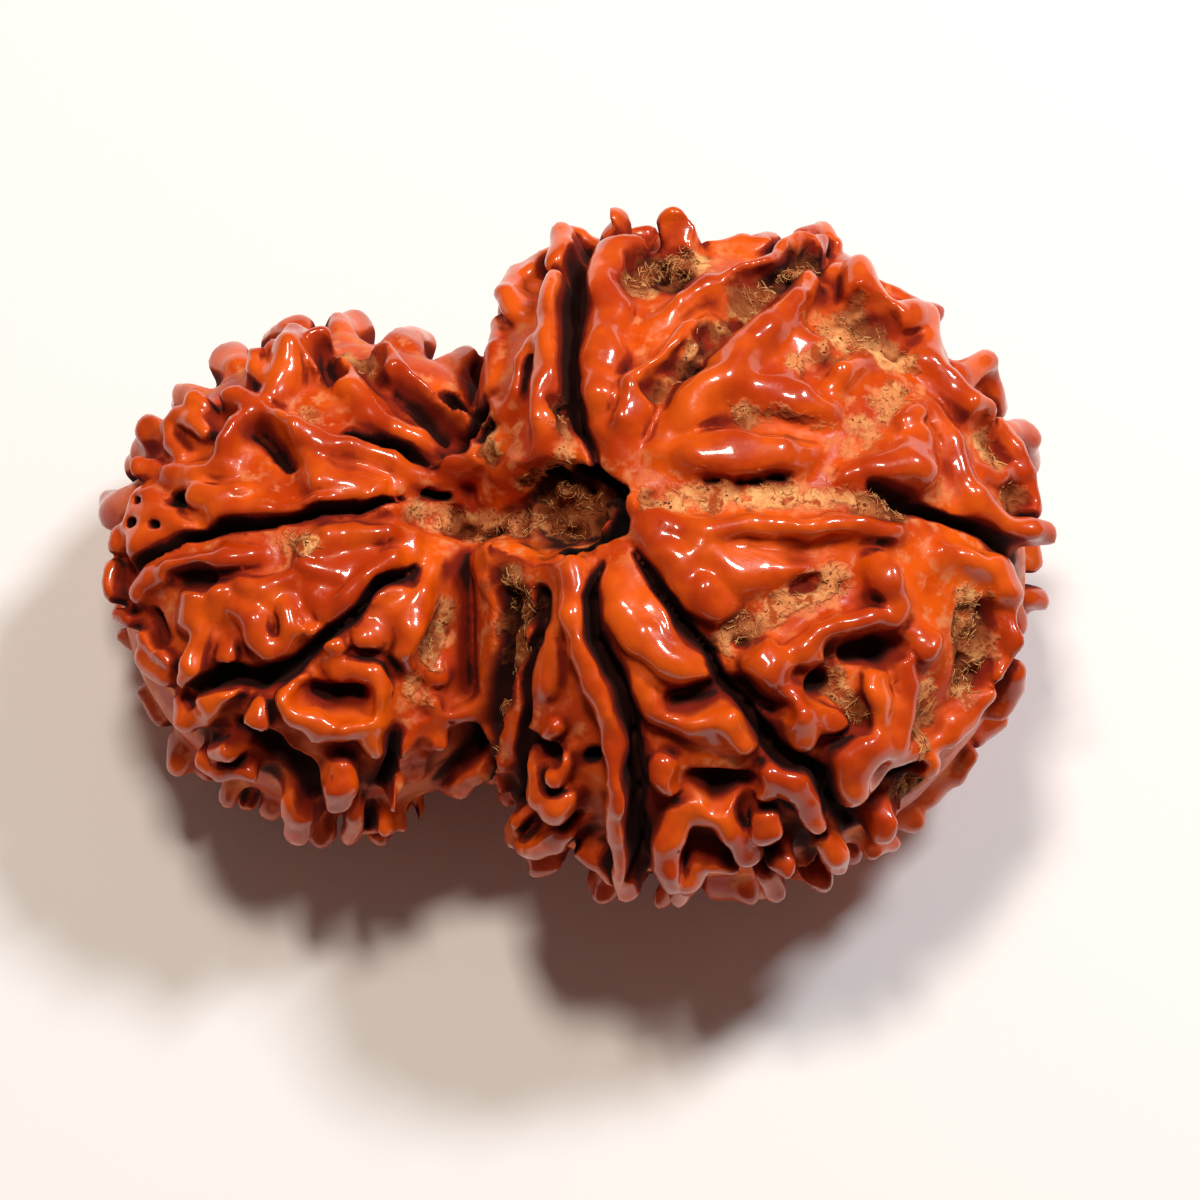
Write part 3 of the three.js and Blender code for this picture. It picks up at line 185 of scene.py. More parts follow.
smallRibs = {
    "arcRib": [[-7.1, 7.9, 0.45, 1.8], [-6.6, 7.1, 0.5, 1.7], [-5.7, 6.4, 0.45, 1.5],
        [-4.9, 5.8, 0.5, 1.5], [-4.3, 5, 0.5, 1.5], [-4.1, 4, 0.5, 1.4], [-4.4, 3.2, 0.4, 1]],
    "arcShadow": [[-8.8, 7.4, 0.45, 1.3], [-8.3, 6.4, 0.45, 1.3], [-7.6, 5.5, 0.5, 1.2],
        [-6.6, 4.8, 0.55, 1.3], [-5.6, 4.4, 0.5, 1.1], [-4.8, 3.9, 0.4, 0.9]],
    "crown": [[-10.4, 8.8, 0.4, 1.8], [-10.7, 8, 0.7, 1.9], [-10.9, 7, 0.65, 1.6],
        [-11.2, 6.2, 0.6, 1.4]],
    "crownEast": [[-9.6, 8.5, 0.45, 1.9], [-9.5, 7.8, 0.45, 1.7], [-9, 7.2, 0.35, 1.4]],
    "crownRing": [[-11.4, 8.1, 0.35, 1.6], [-12, 7.8, 0.3, 1.6], [-12, 7.2, 0.3, 1.5],
        [-11.6, 6.7, 0.3, 1.4]],
    "northRib": [[-12.8, 6.1, 0.45, 1.6], [-12, 5.6, 0.45, 1.4], [-11, 5, 0.45, 1.5],
        [-10.3, 4.7, 0.45, 1.6], [-9.3, 4.4, 0.45, 1.4], [-8, 4, 0.4, 1.2], [-6.8, 3.6, 0.4, 1.1],
        [-5.6, 3.1, 0.45, 0.9]],
    "northFork": [[-11.6, 5, 0.4, 1.3], [-12.6, 5, 0.45, 1.5], [-13, 4.2, 0.45, 1.4],
        [-13.2, 3.5, 0.4, 1.1]],
    "triangle": [[-9.7, 3.8, 0.5, 1.2], [-9.4, 2.8, 0.6, 1.2], [-8.2, 2.6, 0.6, 1.2], [-7, 2.5, 0.5, 1.2],
        [-6.4, 2.5, 0.45, 1.2]],
    "slotLip": [[-6, 2, 0.3, 1], [-7.6, 2.15, 0.32, 1.2], [-9.3, 1.85, 0.32, 1.2],
        [-10.6, 1.8, 0.35, 1.1], [-12.2, 1.6, 0.4, 1.1], [-13.4, 1.9, 0.45, 1.1]],
    "farTooth": [[-14.3, 6, 0.4, 1.6], [-13.7, 5.6, 0.35, 1.3]],
    "farRibOne": [[-15, 5.5, 0.4, 1.5], [-14.3, 5.2, 0.35, 1.4], [-13.8, 4.7, 0.3, 1.3]],
    "farRibTwo": [[-15.3, 5.1, 0.4, 1.4], [-15.1, 4.4, 0.3, 1.1], [-14.6, 3.8, 0.3, 0.9]],
    "westKnob": [[-16.3, 4.9, 0.5, 1.5], [-15.7, 4.9, 0.4, 1.3]],
    "westKnobTwo": [[-16.4, 3.5, 0.45, 1.4], [-15.8, 3.4, 0.35, 1]],
    "westSill": [[-15.2, 3.2, 0.35, 0.9], [-14, 3.1, 0.35, 0.9], [-12.9, 3.3, 0.4, 1]],
    "westPlate": [[-16.4, 2.3, 0.5, 1.2], [-16.6, 1.2, 0.5, 1.2], [-16.3, 0.4, 0.6, 1.3],
        [-15.4, 0.4, 0.5, 1.2], [-14.7, 0.9, 0.45, 1.1], [-14.9, 1.6, 0.3, 1]],
    "plateBar": [[-15.9, 2.4, 0.35, 1], [-15.3, 1.5, 0.35, 1], [-16.1, 1.4, 0.35, 1.1]],
    "innerPlate": [[-14, 2.4, 0.45, 1.1], [-13.3, 2.2, 0.45, 1.1], [-12.5, 2.4, 0.4, 1]],
    "rimDropOne": [[-17.1, 0.9, 0.35, 1.2], [-17.3, 0.3, 0.35, 1.3]],
    "rimDropTwo": [[-17.4, -0.5, 0.35, 1.3], [-17.4, -1.4, 0.4, 1.3]],
    "rimDropThree": [[-17.2, -2.3, 0.3, 1.3], [-16.7, -2.4, 0.35, 1.1]],
    "westRib": [[-16.3, -1.4, 0.4, 1.2], [-15.8, -0.8, 0.45, 1.3], [-14.9, -0.4, 0.45, 1.4],
        [-13.8, -0.2, 0.45, 1.4], [-12.8, 0.1, 0.45, 1.2], [-11.8, 0, 0.4, 1.1]],
    "slotSill": [[-5.9, 0.9, 0.35, 1.1], [-6.8, 0.7, 0.35, 1.2], [-8, 0.7, 0.35, 1.1],
        [-9, 0.6, 0.35, 1.1], [-9.8, 0.2, 0.4, 1]],
    "leftLobeEdge": [[-5.9, 0.2, 0.4, 1.1], [-6.6, -0.2, 0.45, 1.4], [-7.4, -0.9, 0.45, 1.4],
        [-8.3, -1.7, 0.45, 1.3], [-8.9, -2.1, 0.4, 1.1]],
    "leftLobe": [[-9.6, -0.2, 0.5, 1.1], [-8.6, -0.6, 0.45, 1], [-7.6, -0.2, 0.4, 1]],
    "leftPatch": [[-9.5, -1.5, 0.4, 0.9], [-9, -1.6, 0.4, 0.9]],
    "westLobe": [[-14.1, -1.5, 0.5, 1.4], [-14.3, -2.3, 0.45, 1.4], [-13.8, -2.8, 0.4, 1.3]],
    "westLobeTwo": [[-13.2, -1.4, 0.45, 1.3], [-13.3, -2.2, 0.4, 1.2]],
    "westFinger": [[-13.8, -3.2, 0.4, 1.4], [-14.1, -4.1, 0.45, 1.7], [-14.4, -4.8, 0.35, 1.6]],
    "westNeedle": [[-12.8, -3.3, 0.3, 1.1], [-12.9, -4, 0.3, 1.2]],
    "midLobe": [[-12.7, -2, 0.45, 1.3], [-12, -2.4, 0.5, 1.4], [-11.9, -3, 0.5, 1.5],
        [-11.2, -3.6, 0.45, 1.5]],
    "midLobeEast": [[-10.5, -1.9, 0.4, 1.2], [-10.4, -2.7, 0.4, 1.3], [-10.7, -3.5, 0.35, 1.3]],
    "midStrip": [[-12.4, -1.1, 0.4, 1.1], [-11.2, -1.3, 0.4, 1], [-10.3, -1, 0.4, 1]],
    "leaf": [[-16.1, -3.8, 0.4, 1.2], [-15.4, -4.5, 0.4, 1.2]],
    "leafRib": [[-16, -3.1, 0.3, 1], [-15.4, -3.5, 0.35, 1.2], [-15, -4, 0.3, 1.1]],
    "bulb": [[-14.8, -5.3, 0.3, 1], [-14.8, -6.3, 0.55, 1.7]],
    "lowRib": [[-14, -6, 0.4, 1.3], [-13.6, -5.7, 0.45, 1.5], [-12.7, -5.1, 0.35, 1.4]],
    "almond": [[-11.6, -5.5, 0.3, 1.4], [-11.75, -6.3, 0.42, 1.8]],
    "lowBranch": [[-12.4, -6.7, 0.3, 1.2], [-12.7, -7.3, 0.45, 1.4], [-13.5, -7.5, 0.35, 1.2]],
    "lowRim": [[-14, -7.8, 0.35, 1.2], [-13.2, -8.3, 0.4, 1.3], [-12, -8.2, 0.35, 1.2]],
    "lowKnob": [[-10.9, -7.5, 0.4, 1.3], [-10.7, -7.8, 0.4, 1.3]],
    "longDrop": [[-10.5, -9.3, 0.45, 1.3], [-10.3, -10.1, 0.55, 1.6], [-10.2, -10.7, 0.55, 1.7]],
    "shortDrop": [[-8.6, -8, 0.4, 1.5], [-8.7, -8.8, 0.55, 1.9], [-8.8, -9.4, 0.5, 1.8]],
    "underDrop": [[-8.2, -10, 0.35, 1.2], [-8.3, -10.9, 0.4, 1.4]],
    "underLedge": [[-7.6, -10.5, 0.3, 1.1], [-6.9, -10.2, 0.3, 1.2], [-6.4, -10.2, 0.3, 1.1]],
    "ring": [[-8.2, -4.2, 0.4, 1.2], [-7.5, -4.3, 0.4, 1.4], [-7.1, -5.2, 0.5, 1.6],
        [-7.4, -6.1, 0.6, 1.7], [-8.3, -6.4, 0.6, 1.8], [-9.4, -6.4, 0.5, 1.6], [-10.3, -6, 0.45, 1.5],
        [-10.6, -5.2, 0.4, 1.5], [-10.2, -4.5, 0.35, 1.2]],
    "ringTongue": [[-8.9, -4.1, 0.35, 1], [-8.5, -4.6, 0.4, 1.1]],
    "ringTail": [[-7.4, -6.7, 0.4, 1.5], [-7.25, -7.3, 0.3, 1.4]],
    "ringKnot": [[-9.4, -2.9, 0.4, 1.2], [-8.8, -3.3, 0.4, 1.2], [-8.9, -3.9, 0.3, 1]],
    "southLobe": [[-5.1, -0.4, 0.35, 1], [-5.5, -1.4, 0.5, 1.3], [-5.9, -2.6, 0.65, 1.5],
        [-6.1, -3.6, 0.5, 1.4], [-6, -4.2, 0.35, 1.2]],
    "southArm": [[-6.6, -2.3, 0.5, 1.2], [-7.5, -2.9, 0.4, 1.4], [-7.9, -3, 0.35, 1.4]],
    "southEdge": [[-6.3, -1.3, 0.3, 1], [-7.1, -1.8, 0.3, 1.1], [-8, -2.6, 0.3, 1.1]],
    "bowFlank": [[-4.9, -4.6, 0.4, 1], [-5.2, -3.9, 0.35, 0.8]],
    "thinRib": [[-4.6, -6.2, 0.3, 1], [-3.9, -5.9, 0.3, 1.1], [-3.3, -5.5, 0.3, 1]],
    "sideBand": [[-5.2, -5.6, 0.3, 1.1], [-5, -6.3, 0.3, 1.1], [-4.9, -7, 0.3, 1]],
    "longSouthRib": [[-5.5, -6.6, 0.35, 1.2], [-5.9, -7.4, 0.4, 1.5], [-6.3, -8.4, 0.45, 1.7],
        [-6.4, -9.4, 0.4, 1.7]],
    "tooth": [[-5.4, -8.1, 0.3, 1.3], [-5.4, -8.9, 0.3, 1.4]],
    "shadowLumps": [[-3.2, -7.4, 0.4, 0.9], [-3.6, -8.2, 0.4, 1], [-3.8, -9, 0.4, 1.1]],
}

# The dark lines that part the ribs into groups: across, up, and half width at the bottom.
largeLines = {
    "north": [[0.9, 3.2, 0.08], [0.2, 4.8, 0.1], [-0.1, 6, 0.1], [-0.05, 7.5, 0.12], [0.1, 9.3, 0.2],
        [0.2, 10.6, 0.15]],
    "eastOuter": [[10.6, 2.3, 0.1], [11.8, 1.9, 0.15], [13, 1.4, 0.15], [14.6, 0.9, 0.1], [15.4, 0.4, 0.08],
        [16, -0.1, 0.05]],
    "southEast": [[2.1, -0.1, 0.04], [3, -1.3, 0.05], [3.8, -2.4, 0.05], [4.7, -3.3, 0.05], [5.4, -4.6, 0.08],
        [6.3, -5.6, 0.1], [7, -6.7, 0.25], [7.7, -7.3, 0.15], [8.8, -8, 0.12], [9.5, -9.2, 0.2],
        [10.2, -10.2, 0.12]],
    "south": [[0.9, -0.4, 0.05], [0.7, -1.6, 0.06], [0.8, -3, 0.07], [1.25, -4.1, 0.08], [1.8, -5.4, 0.08],
        [2.1, -6.8, 0.12], [2.3, -9, 0.12], [2.4, -11.2, 0.12]],
    "southWest": [[-1, -1.3, 0.06], [-1.4, -3.2, 0.08], [-1.8, -4.7, 0.1], [-1.9, -6, 0.12],
        [-2.1, -8, 0.2], [-2.4, -9.2, 0.2]],
}

smallLines = {
    "west": [[-5.9, 1.9, 0.04], [-8, 1.6, 0.05], [-9.5, 1.4, 0.05], [-11, 1.2, 0.06], [-13, 1, 0.1],
        [-14, 0.8, 0.06], [-15, 0.2, 0.05], [-16, -0.5, 0.05]],
    "southWest": [[-5.9, -0.4, 0.03], [-7.1, -1.25, 0.03], [-8.1, -2.2, 0.04], [-9, -2.9, 0.04],
        [-10.3, -4, 0.15], [-11.5, -4.5, 0.25], [-12.6, -4.4, 0.2], [-13.6, -4.9, 0.08]],
    "northWest": [[-5, 3.2, 0.04], [-6, 3.6, 0.06], [-7.2, 3.9, 0.06], [-8.5, 4.35, 0.04]],
    "southOuter": [[-6.6, -6.4, 0.12], [-6.9, -7.9, 0.2], [-7.2, -8.6, 0.1]],
    "north": [[-4, 3, 0.1], [-3.6, 4.6, 0.15], [-4.3, 5.9, 0.15]],
}

# Tan, fibrous pith shows between the ribs: across, up, half width, and height over the floor.
pithBeds = {
    "northPit": [[2.6, 9.9, 0.8, 0.6], [3.3, 10.3, 1.1, 0.4], [4.2, 10.6, 0.8, 0.5]],
    "eastPitWest": [[8.9, 8.5, 0.6, 0.9], [9.8, 8.1, 0.9, 0.7], [10.3, 8.6, 0.6, 0.7]],
    "eastPitEast": [[10.9, 8, 0.8, 0.7], [11.7, 7.3, 0.8, 0.8]],
    "eastPitLow": [[8, 7.2, 0.4, 1.15], [9.2, 7.3, 0.5, 1.05]],
    "rimPit": [[14.8, 4.2, 0.5, 0.6], [15.2, 3.6, 0.55, 0.5]],
    "rimPitLow": [[15.9, 2.4, 0.35, 0.7], [16.3, 2, 0.35, 0.7]],
    "outerPit": [[14.3, -1.7, 0.5, 0.6], [14.3, -2.5, 0.8, 0.3], [14.4, -3.6, 0.8, 0.4],
        [14.2, -4.9, 0.5, 0.6]],
    "eye": [[11.7, -8.4, 0.5, 0], [12.3, -8.3, 0.5, 0]],
    "eastStrip": [[10.1, 3.9, 0.35, 1.05], [10.5, 4.8, 0.5, 1], [11.1, 5.5, 0.5, 1], [11.9, 6.2, 0.4, 0.9]],
    "domeStrip": [[5.8, 5.3, 0.25, 1.35], [7.3, 5.1, 0.35, 1.3], [8.4, 4.8, 0.35, 1.25],
        [9.3, 4.4, 0.35, 1.1]],
    "midStrip": [[5.4, -3.1, 0.45, 0.9], [6.3, -2.6, 0.45, 0.9], [7.3, -2, 0.5, 0.95], [8.6, -1.2, 0.6, 0.9],
        [9.6, -0.9, 0.5, 0.9]],
    "poleStrip": [[2.7, 2, 0.4, 0.85], [4, 2, 0.5, 0.8], [6, 2.15, 0.5, 0.8], [8, 2.2, 0.5, 0.8],
        [10, 1.9, 0.4, 0.8], [11.8, 1.6, 0.35, 0.7]],
    "northValley": [[2.9, 5.8, 0.3, 0.8], [3.9, 6.6, 0.4, 0.8], [4.8, 7.6, 0.4, 0.8], [5.6, 8.6, 0.45, 0.8],
        [6.5, 9.4, 0.5, 0.8], [7.6, 10, 0.45, 0.8], [8.7, 10.8, 0.35, 0.8]],
    "toothStrip": [[9.3, -3.6, 0.35, 0.85], [9.6, -4.8, 0.4, 0.85], [10.1, -5.8, 0.35, 0.85]],
    "outerBand": [[12.8, -4.9, 0.4, 0.9], [12.9, -6, 0.45, 0.9], [12.5, -7, 0.35, 0.9]],
    "foldBed": [[-3.3, 4.7, 0.35, 0.8], [-3.1, 3.8, 0.4, 0.8]],
    "westStrip": [[-0.45, 5.5, 0.2, 0.9], [-0.4, 3.7, 0.25, 0.8]],
    "seam": [[-2.3, -0.8, 0.5, 0.4], [-2.1, -1.9, 0.75, 0.2], [-2.1, -3.3, 0.75, 0.1], [-2.5, -4.8, 0.5, 0.1],
        [-2.7, -7, 0.35, 0.1], [-2.8, -9, 0.25, 0.1]],
    "crownBed": [[-9.7, 5.8, 0.45, 1.1], [-9.3, 5.5, 0.45, 1.1]],
    "crownEastBed": [[-8.4, 7.7, 0.35, 1], [-7.6, 6.9, 0.35, 0.9]],
    "slotBed": [[-10.4, 0.5, 0.4, 1], [-9.6, 0.4, 0.4, 1]],
    "bowBed": [[-4.5, -1.8, 0.25, 0.9], [-4.9, -2.9, 0.35, 0.7], [-5.2, -3.8, 0.3, 0.7]],
    "tuftBed": [[-5.8, -5, 0.4, 1.1], [-5.8, -5.8, 0.4, 1.1]],
    "trench": [[-5.5, 1.45, 0.4, 0.75], [-4.6, 1.3, 0.5, 0.7], [-3.2, 1.1, 0.5, 0.65], [-1.9, 1.2, 0.5, 0.4]],
    "pole": [[-1.1, 1.6, 0.8, 0.1], [-0.2, 1.65, 1.1, -0.2], [0.8, 1.65, 1.15, -0.5]],
    "poleEdge": [[-1.9, 2.4, 0.3, 0.5], [-0.8, 2.9, 0.3, 0.4]],
}

# Holes with upright walls: across, up, half width, and height of the bottom over the floor.
darkHoles = {
    "pole": [[0.1, 2.75, 0.2, -1.2], [0.9, 2.6, 0.35, -1.9], [1.4, 2, 0.38, -2.2], [1.4, 1.2, 0.35, -2.2],
        [1, 0.65, 0.25, -1.8], [-0.6, 0.4, 0.15, -1.3]],
    "poleCorner": [[-1.1, 2.4, 0.2, -0.9], [-0.9, 2.2, 0.2, -0.9]],
    "smallPole": [[-5.4, 2.05, 0.14, -0.6], [-4.8, 2.1, 0.14, -0.6]],
    "eastSlit": [[4.6, 2.75, 0.05, 0.2], [6, 2.7, 0.07, 0.1], [7.6, 2.75, 0.05, 0.2]],
    "plateOne": [[-16.1, 1, 0.15, 0.3], [-15.9, 1, 0.15, 0.3]],
    "plateTwo": [[-15.3, 1, 0.14, 0.3], [-15.2, 1, 0.14, 0.3]],
    "plateThree": [[-15.9, 1.9, 0.14, 0.3], [-15.8, 1.9, 0.14, 0.3]],
    "farPit": [[-14.6, 2.1, 0.3, -0.2], [-14.4, 2.1, 0.3, -0.2]],
    "toothGap": [[0.6, -7.2, 0.2, -0.3], [0.9, -7.2, 0.2, -0.3]],
    "eyeHole": [[11.5, -7.9, 0.35, -1], [12.3, -7.6, 0.35, -1]],
}

# Dark hollows with sloping walls, in the same form.
darkHollows = {
    "ring": [[-9.7, -4.9, 0.1, -0.1], [-8.8, -5.15, 0.1, -0.3], [-7.8, -5.1, 0.1, -0.1]],
    "northHollow": [[-11.8, 4.4, 0.1, 0.2], [-10.9, 3.8, 0.15, 0.1], [-10.3, 3.3, 0.1, 0.2]],
    "crownGap": [[-9.3, 7.1, 0.1, 0.2], [-8.9, 6.4, 0.15, 0.1]],
    "crownRing": [[-11.7, 7.4, 0.15, 0.2], [-11.65, 7.2, 0.15, 0.2]],
    "arcHollow": [[-6.6, 5.8, 0.15, 0.2], [-5.3, 5, 0.2, 0], [-4.8, 4.2, 0.1, 0.2]],
    "underArch": [[9.8, -3.5, 0.15, 0], [10.8, -3.4, 0.3, -0.2], [11.5, -3.2, 0.2, 0]],
    "toothHole": [[8.7, -4.6, 0.15, -0.3], [8.9, -4.4, 0.15, -0.3]],
    "knobRing": [[5.9, -4.6, 0.1, 0.1], [6.4, -5.2, 0.1, 0.1], [7.2, -5.6, 0.1, 0.1]],
    "skirtNotch": [[3.6, -5.1, 0.1, 0.2], [4.4, -5.1, 0.15, 0.1], [5.3, -4.9, 0.1, 0.2]],
    "frontHollow": [[4.2, -8, 0.15, 0], [5.2, -8.4, 0.3, -0.3], [6.1, -8.1, 0.15, 0]],
    "hornHollow": [[8.5, -11.6, 0.2, -0.2], [8.9, -11.5, 0.2, -0.2]],
    "midPocket": [[7.8, -1.3, 0.1, 0.2], [8.3, -1.1, 0.15, 0.1]],
    "underWest": [[-14.3, -0.9, 0.1, 0.1], [-13.2, -0.8, 0.1, 0.2]],
    "lowGap": [[-12.4, -6.1, 0.1, 0], [-11.2, -7, 0.3, -0.2], [-10, -7.9, 0.3, -0.2],
        [-9.6, -9, 0.2, -0.1]],
    "westGap": [[-15.6, -2.2, 0.15, 0.1], [-15, -3, 0.15, 0.1]],
    "teethGap": [[-1.9, -6.7, 0.1, 0], [-0.4, -7.1, 0.1, 0.1]],
    "seamWest": [[-2.8, -1.2, 0.1, -0.2], [-2.7, -2.1, 0.15, -0.5], [-2.9, -3.5, 0.15, -0.5],
        [-3.2, -5, 0.2, -0.5], [-3.4, -6.5, 0.2, -0.4]],
    "seamEast": [[-1.3, -1.4, 0.1, -0.3], [-1.35, -2.4, 0.1, -0.3]],
}

# Broad flat-topped sheets of skin that carry several ribs: across, up, half width, height.
largeSlabs = {
    "west": [[1.2, 4.4, 0.6, 0.8], [0.9, 5.8, 0.8, 0.9], [0.9, 7.4, 0.8, 0.9], [1.1, 8.8, 0.7, 0.8]],
    "spine": [[3.6, 4.8, 0.8, 0.7], [5.2, 5.9, 1.3, 0.9], [6.8, 7, 1.3, 0.8], [7.8, 8.3, 0.8, 0.7]],
    "shelf": [[12.9, 8.3, 0.6, 0.7], [13.1, 7, 0.9, 0.8], [13.7, 6, 0.7, 0.7]],
    "dome": [[10.6, 3.1, 0.6, 0.7], [11.8, 3.6, 0.9, 0.8], [12.9, 4.3, 0.8, 0.8]],
    "wedge": [[2.7, 0.8, 0.5, 0.8], [4.2, 0.1, 1.1, 0.9], [5.5, -0.5, 1.2, 0.8], [7.2, -0.1, 0.9, 0.7]],
    "beak": [[1.5, -1.2, 0.6, 0.8], [2.2, -2.8, 1, 0.9], [3.3, -3.9, 0.8, 0.9]],
    "skirt": [[2.4, -5.1, 0.5, 0.7], [4, -5.9, 0.7, 0.8], [5.4, -6.3, 0.7, 0.9]],
    "fold": [[10.9, -4.6, 0.6, 0.7], [11.3, -6, 0.8, 0.8], [10.5, -8, 0.8, 0.9]],
    "outer": [[13.4, -0.5, 0.5, 0.6], [15.4, -0.8, 0.7, 0.7], [16.3, -2.4, 0.6, 0.8]],
}

smallSlabs = {
    "south": [[-5.3, -0.6, 0.5, 0.7], [-5.8, -2.2, 0.8, 0.8], [-6.6, -2.9, 0.8, 0.7]],
    "west": [[-10, -2, 0.7, 0.6], [-12, -2.2, 0.9, 0.7], [-13.8, -2.2, 0.8, 0.7]],
    "left": [[-6.4, 0.4, 0.4, 0.7], [-7.8, 0, 0.7, 0.7], [-9.4, -0.5, 0.8, 0.6]],
    "plate": [[-16.2, 1.8, 0.8, 0.9], [-16, 0.8, 0.9, 0.95], [-15.2, 0.8, 0.7, 0.85]],
    "triangle": [[-9.5, 3.4, 0.7, 0.7], [-8, 3.1, 0.6, 0.7], [-6.4, 2.8, 0.4, 0.7]],
    "crown": [[-10.4, 8.3, 0.7, 1.1], [-10.8, 7, 0.7, 1], [-10.9, 6.2, 0.5, 0.8]],
}

# Ribs that the plan doesn't show follow rules.
hidden = {
    "drift": 0.8, "driftTurns": [0.5, 0.45], "phaseStep": 0.05,
    "facing": -0.18,         # a part is hidden where its way out leans from the eye by more than this
    "seed": 27, "spacing": 15, "uneven": [0.85, 0.3], "reach": 20, "stations": [1, 0.35, -0.3, -1],
    "wave": 5, "halfWidth": [0.45, 0.3], "swell": [0.8, 0.35], "height": [1.2, 0.6],
    "sink": 0.45,            # how much lower a back rib's upper end is
}

relief = {
    "step": 0.155,           # grid step, from corner to corner of a box a little larger than the seed
    "low": [-19.5, -15.5, -1.0], "high": [19.5, 15.5, 20.0],
    "topSkin": 0.55,         # the skin between the ribs lies this far over the floor,
    "rimSkin": 0.05,         # and sinks to this round the rim
    "skinStart": 0.25, "skinSpan": 0.4, "seamStart": -3.6, "seamSpan": 2,
    "root": 0.5,             # a rib's wall goes this far under the floor
    "ribBlend": 0.25, "slabBlend": 0.4, "wallBlend": 0.5, "bedBlend": 0.25, "cutBlend": 0.15,
    "bedSlope": 2.6, "lineSlope": 8.0, "hollowSlope": 2.6, "cutReach": 1.0,
    "slabEdge": 0.4,         # rounding of a slab's edge
    "slabRoot": 1.5,         # a slab goes this far under the floor
    "lineDepth": 0.3, "lineStart": 0.4, "bottomHeight": 0.5,
    "mouth": 0.6,            # what is cut in is drawn where it opens, this far over the floor
    "bedJoin": 0.3, "cutJoin": 0.2, "markJoin": 0.1,   # rounding between cuts of one kind
    "cutMargin": 1.2, "holeMargin": 0.9, "cutTall": 2.5, "markTall": 1.5,
    "wobble": 0.22, "wobbleSize": 1.1, "wobbleShift": 3.1,
    "bedRough": 0.3, "skinRough": 0.05, "holeRough": 0.1,
    "coarse": [0.55, 0.9, 7.0], "fine": [0.45, 0.42, 11.0], "skinNoise": [0.8, 17.0],   # share, size, shift
    "noiseFrom": -3.2, "noiseTo": 2.6,                 # roughness is worked out this near the floor
    "boxBlend": 0.3,         # rounding where a tip meets the box of the solid,
    "boxGap": 0.02,          # and the room left inside it
    "gapWays": ((0.35, 0.3), (0.8, 0.4), (1.5, 0.3)),  # length and share of each way out
    "background": 3.0,       # the distance where nothing is near
    "mostTriangles": 197000,
}


def smoothMin(a, b, blend):
    share = np.maximum(blend - np.abs(a - b), 0) / blend
    return np.minimum(a, b) - share * share * blend / 4


def smoothMax(a, b, blend):
    return -smoothMin(-a, -b, blend)


# Distance from the bar that presses the hollow between the poles into the upper or the lower side.
def hollowDistance(x, y, z, side):
    ends = []
    for lobe, pole in ((largeLobe, form["largePole"]), (smallLobe, form["smallPole"])):
        offset = (pole[0] - lobe["centre"][0]) / lobe["radii"][0]
        rise = lobe["radii"][2] * math.sqrt(1 - offset * offset) + form["hollowRadius"] - form["hollowDepth"]
        ends.append(np.array([*pole, lobe["centre"][2] + side * rise]))
    run = ends[1] - ends[0]
    dx, dy, dz = x - ends[0][0], y - ends[0][1], z - ends[0][2]
    share = np.clip((dx * run[0] + dy * run[1] + dz * run[2]) / run.dot(run), 0, 1)
    dx, dy, dz = dx - share * run[0], dy - share * run[1], dz - share * run[2]
    return np.sqrt(dx * dx + dy * dy + dz * dz) - form["hollowRadius"]


# Distance from a lobe's round form, flattened where it meets the other lobe.
def lobeDistance(lobe, x, y, z):
    centre, radii = lobe["centre"], lobe["radii"]
    sx, sy, sz = (x - centre[0]) / radii[0], (y - centre[1]) / radii[1], (z - centre[2]) / radii[2]
    size = np.sqrt(sx * sx + sy * sy + sz * sz)
    steep = np.sqrt((sx / radii[0]) ** 2 + (sy / radii[1]) ** 2 + (sz / radii[2]) ** 2)
    ball = size * (size - 1) / np.maximum(steep, 1e-6)
    past = np.sign(lobe["flatX"] - centre[0]) * (x - lobe["flatX"])
    return smoothMax(ball, past, form["flatRound"])


# Distance from the seed's floor: negative inside.
def floorDistance(x, y, z):
    both = np.minimum(lobeDistance(largeLobe, x, y, z), lobeDistance(smallLobe, x, y, z))
    for side in (1, -1):
        both = smoothMax(both, -hollowDistance(x, y, z, side), form["hollowBlend"])
    return both


# The slope of the floor's distance, by differences: the way straight out.
def outward(points):
    step = form["slopeStep"]
    slope = [floorDistance(*(points + step * axis).T) - floorDistance(*(points - step * axis).T)
             for axis in np.eye(3)]
    slope = np.array(slope).T
    return slope / np.maximum(np.linalg.norm(slope, axis=1, keepdims=True), 1e-9)


def settle(points):
    for _ in range(4):
        points = points - outward(points) * floorDistance(*points.T)[:, None]
    return points


sightAngle = math.radians(form["sightAngle"])
sight = np.array([0, -math.cos(sightAngle), math.sin(sightAngle)])
planUp = np.array([0, math.sin(sightAngle), math.cos(sightAngle)])
planLevel = largeLobe["centre"][2]


search = {"near": 25, "far": -12, "step": 0.25, "halvings": 24}


# Follows the line of sight in, in steps, to where it first meets a level over the floor, or comes nearest to
# it, and halves the last step until the place is close.
def placeOnPlan(across, up, level):
    across, up, level = np.asarray(across, float), np.asarray(up, float), np.asarray(level, float)
    start = across[:, None] * np.array([1, 0, 0]) + up[:, None] * planUp + np.array([0, 0, planLevel])
    steps = np.arange(search["near"], search["far"], -search["step"])
    gaps = np.array([floorDistance(*(start + t * sight).T) - level for t in steps])
    reached = gaps < 0
    first = np.where(reached.any(axis=0), reached.argmax(axis=0), gaps.argmin(axis=0))
    near = steps[first]
    far = near + search["step"]
    inside = reached.any(axis=0)
    for _ in range(search["halvings"]):
        middle = (near + far) / 2
        under = floorDistance(*(start + middle[:, None] * sight).T) - level < 0
        near, far = np.where(inside & under, middle, near), np.where(inside & ~under, middle, far)
    return start + near[:, None] * sight


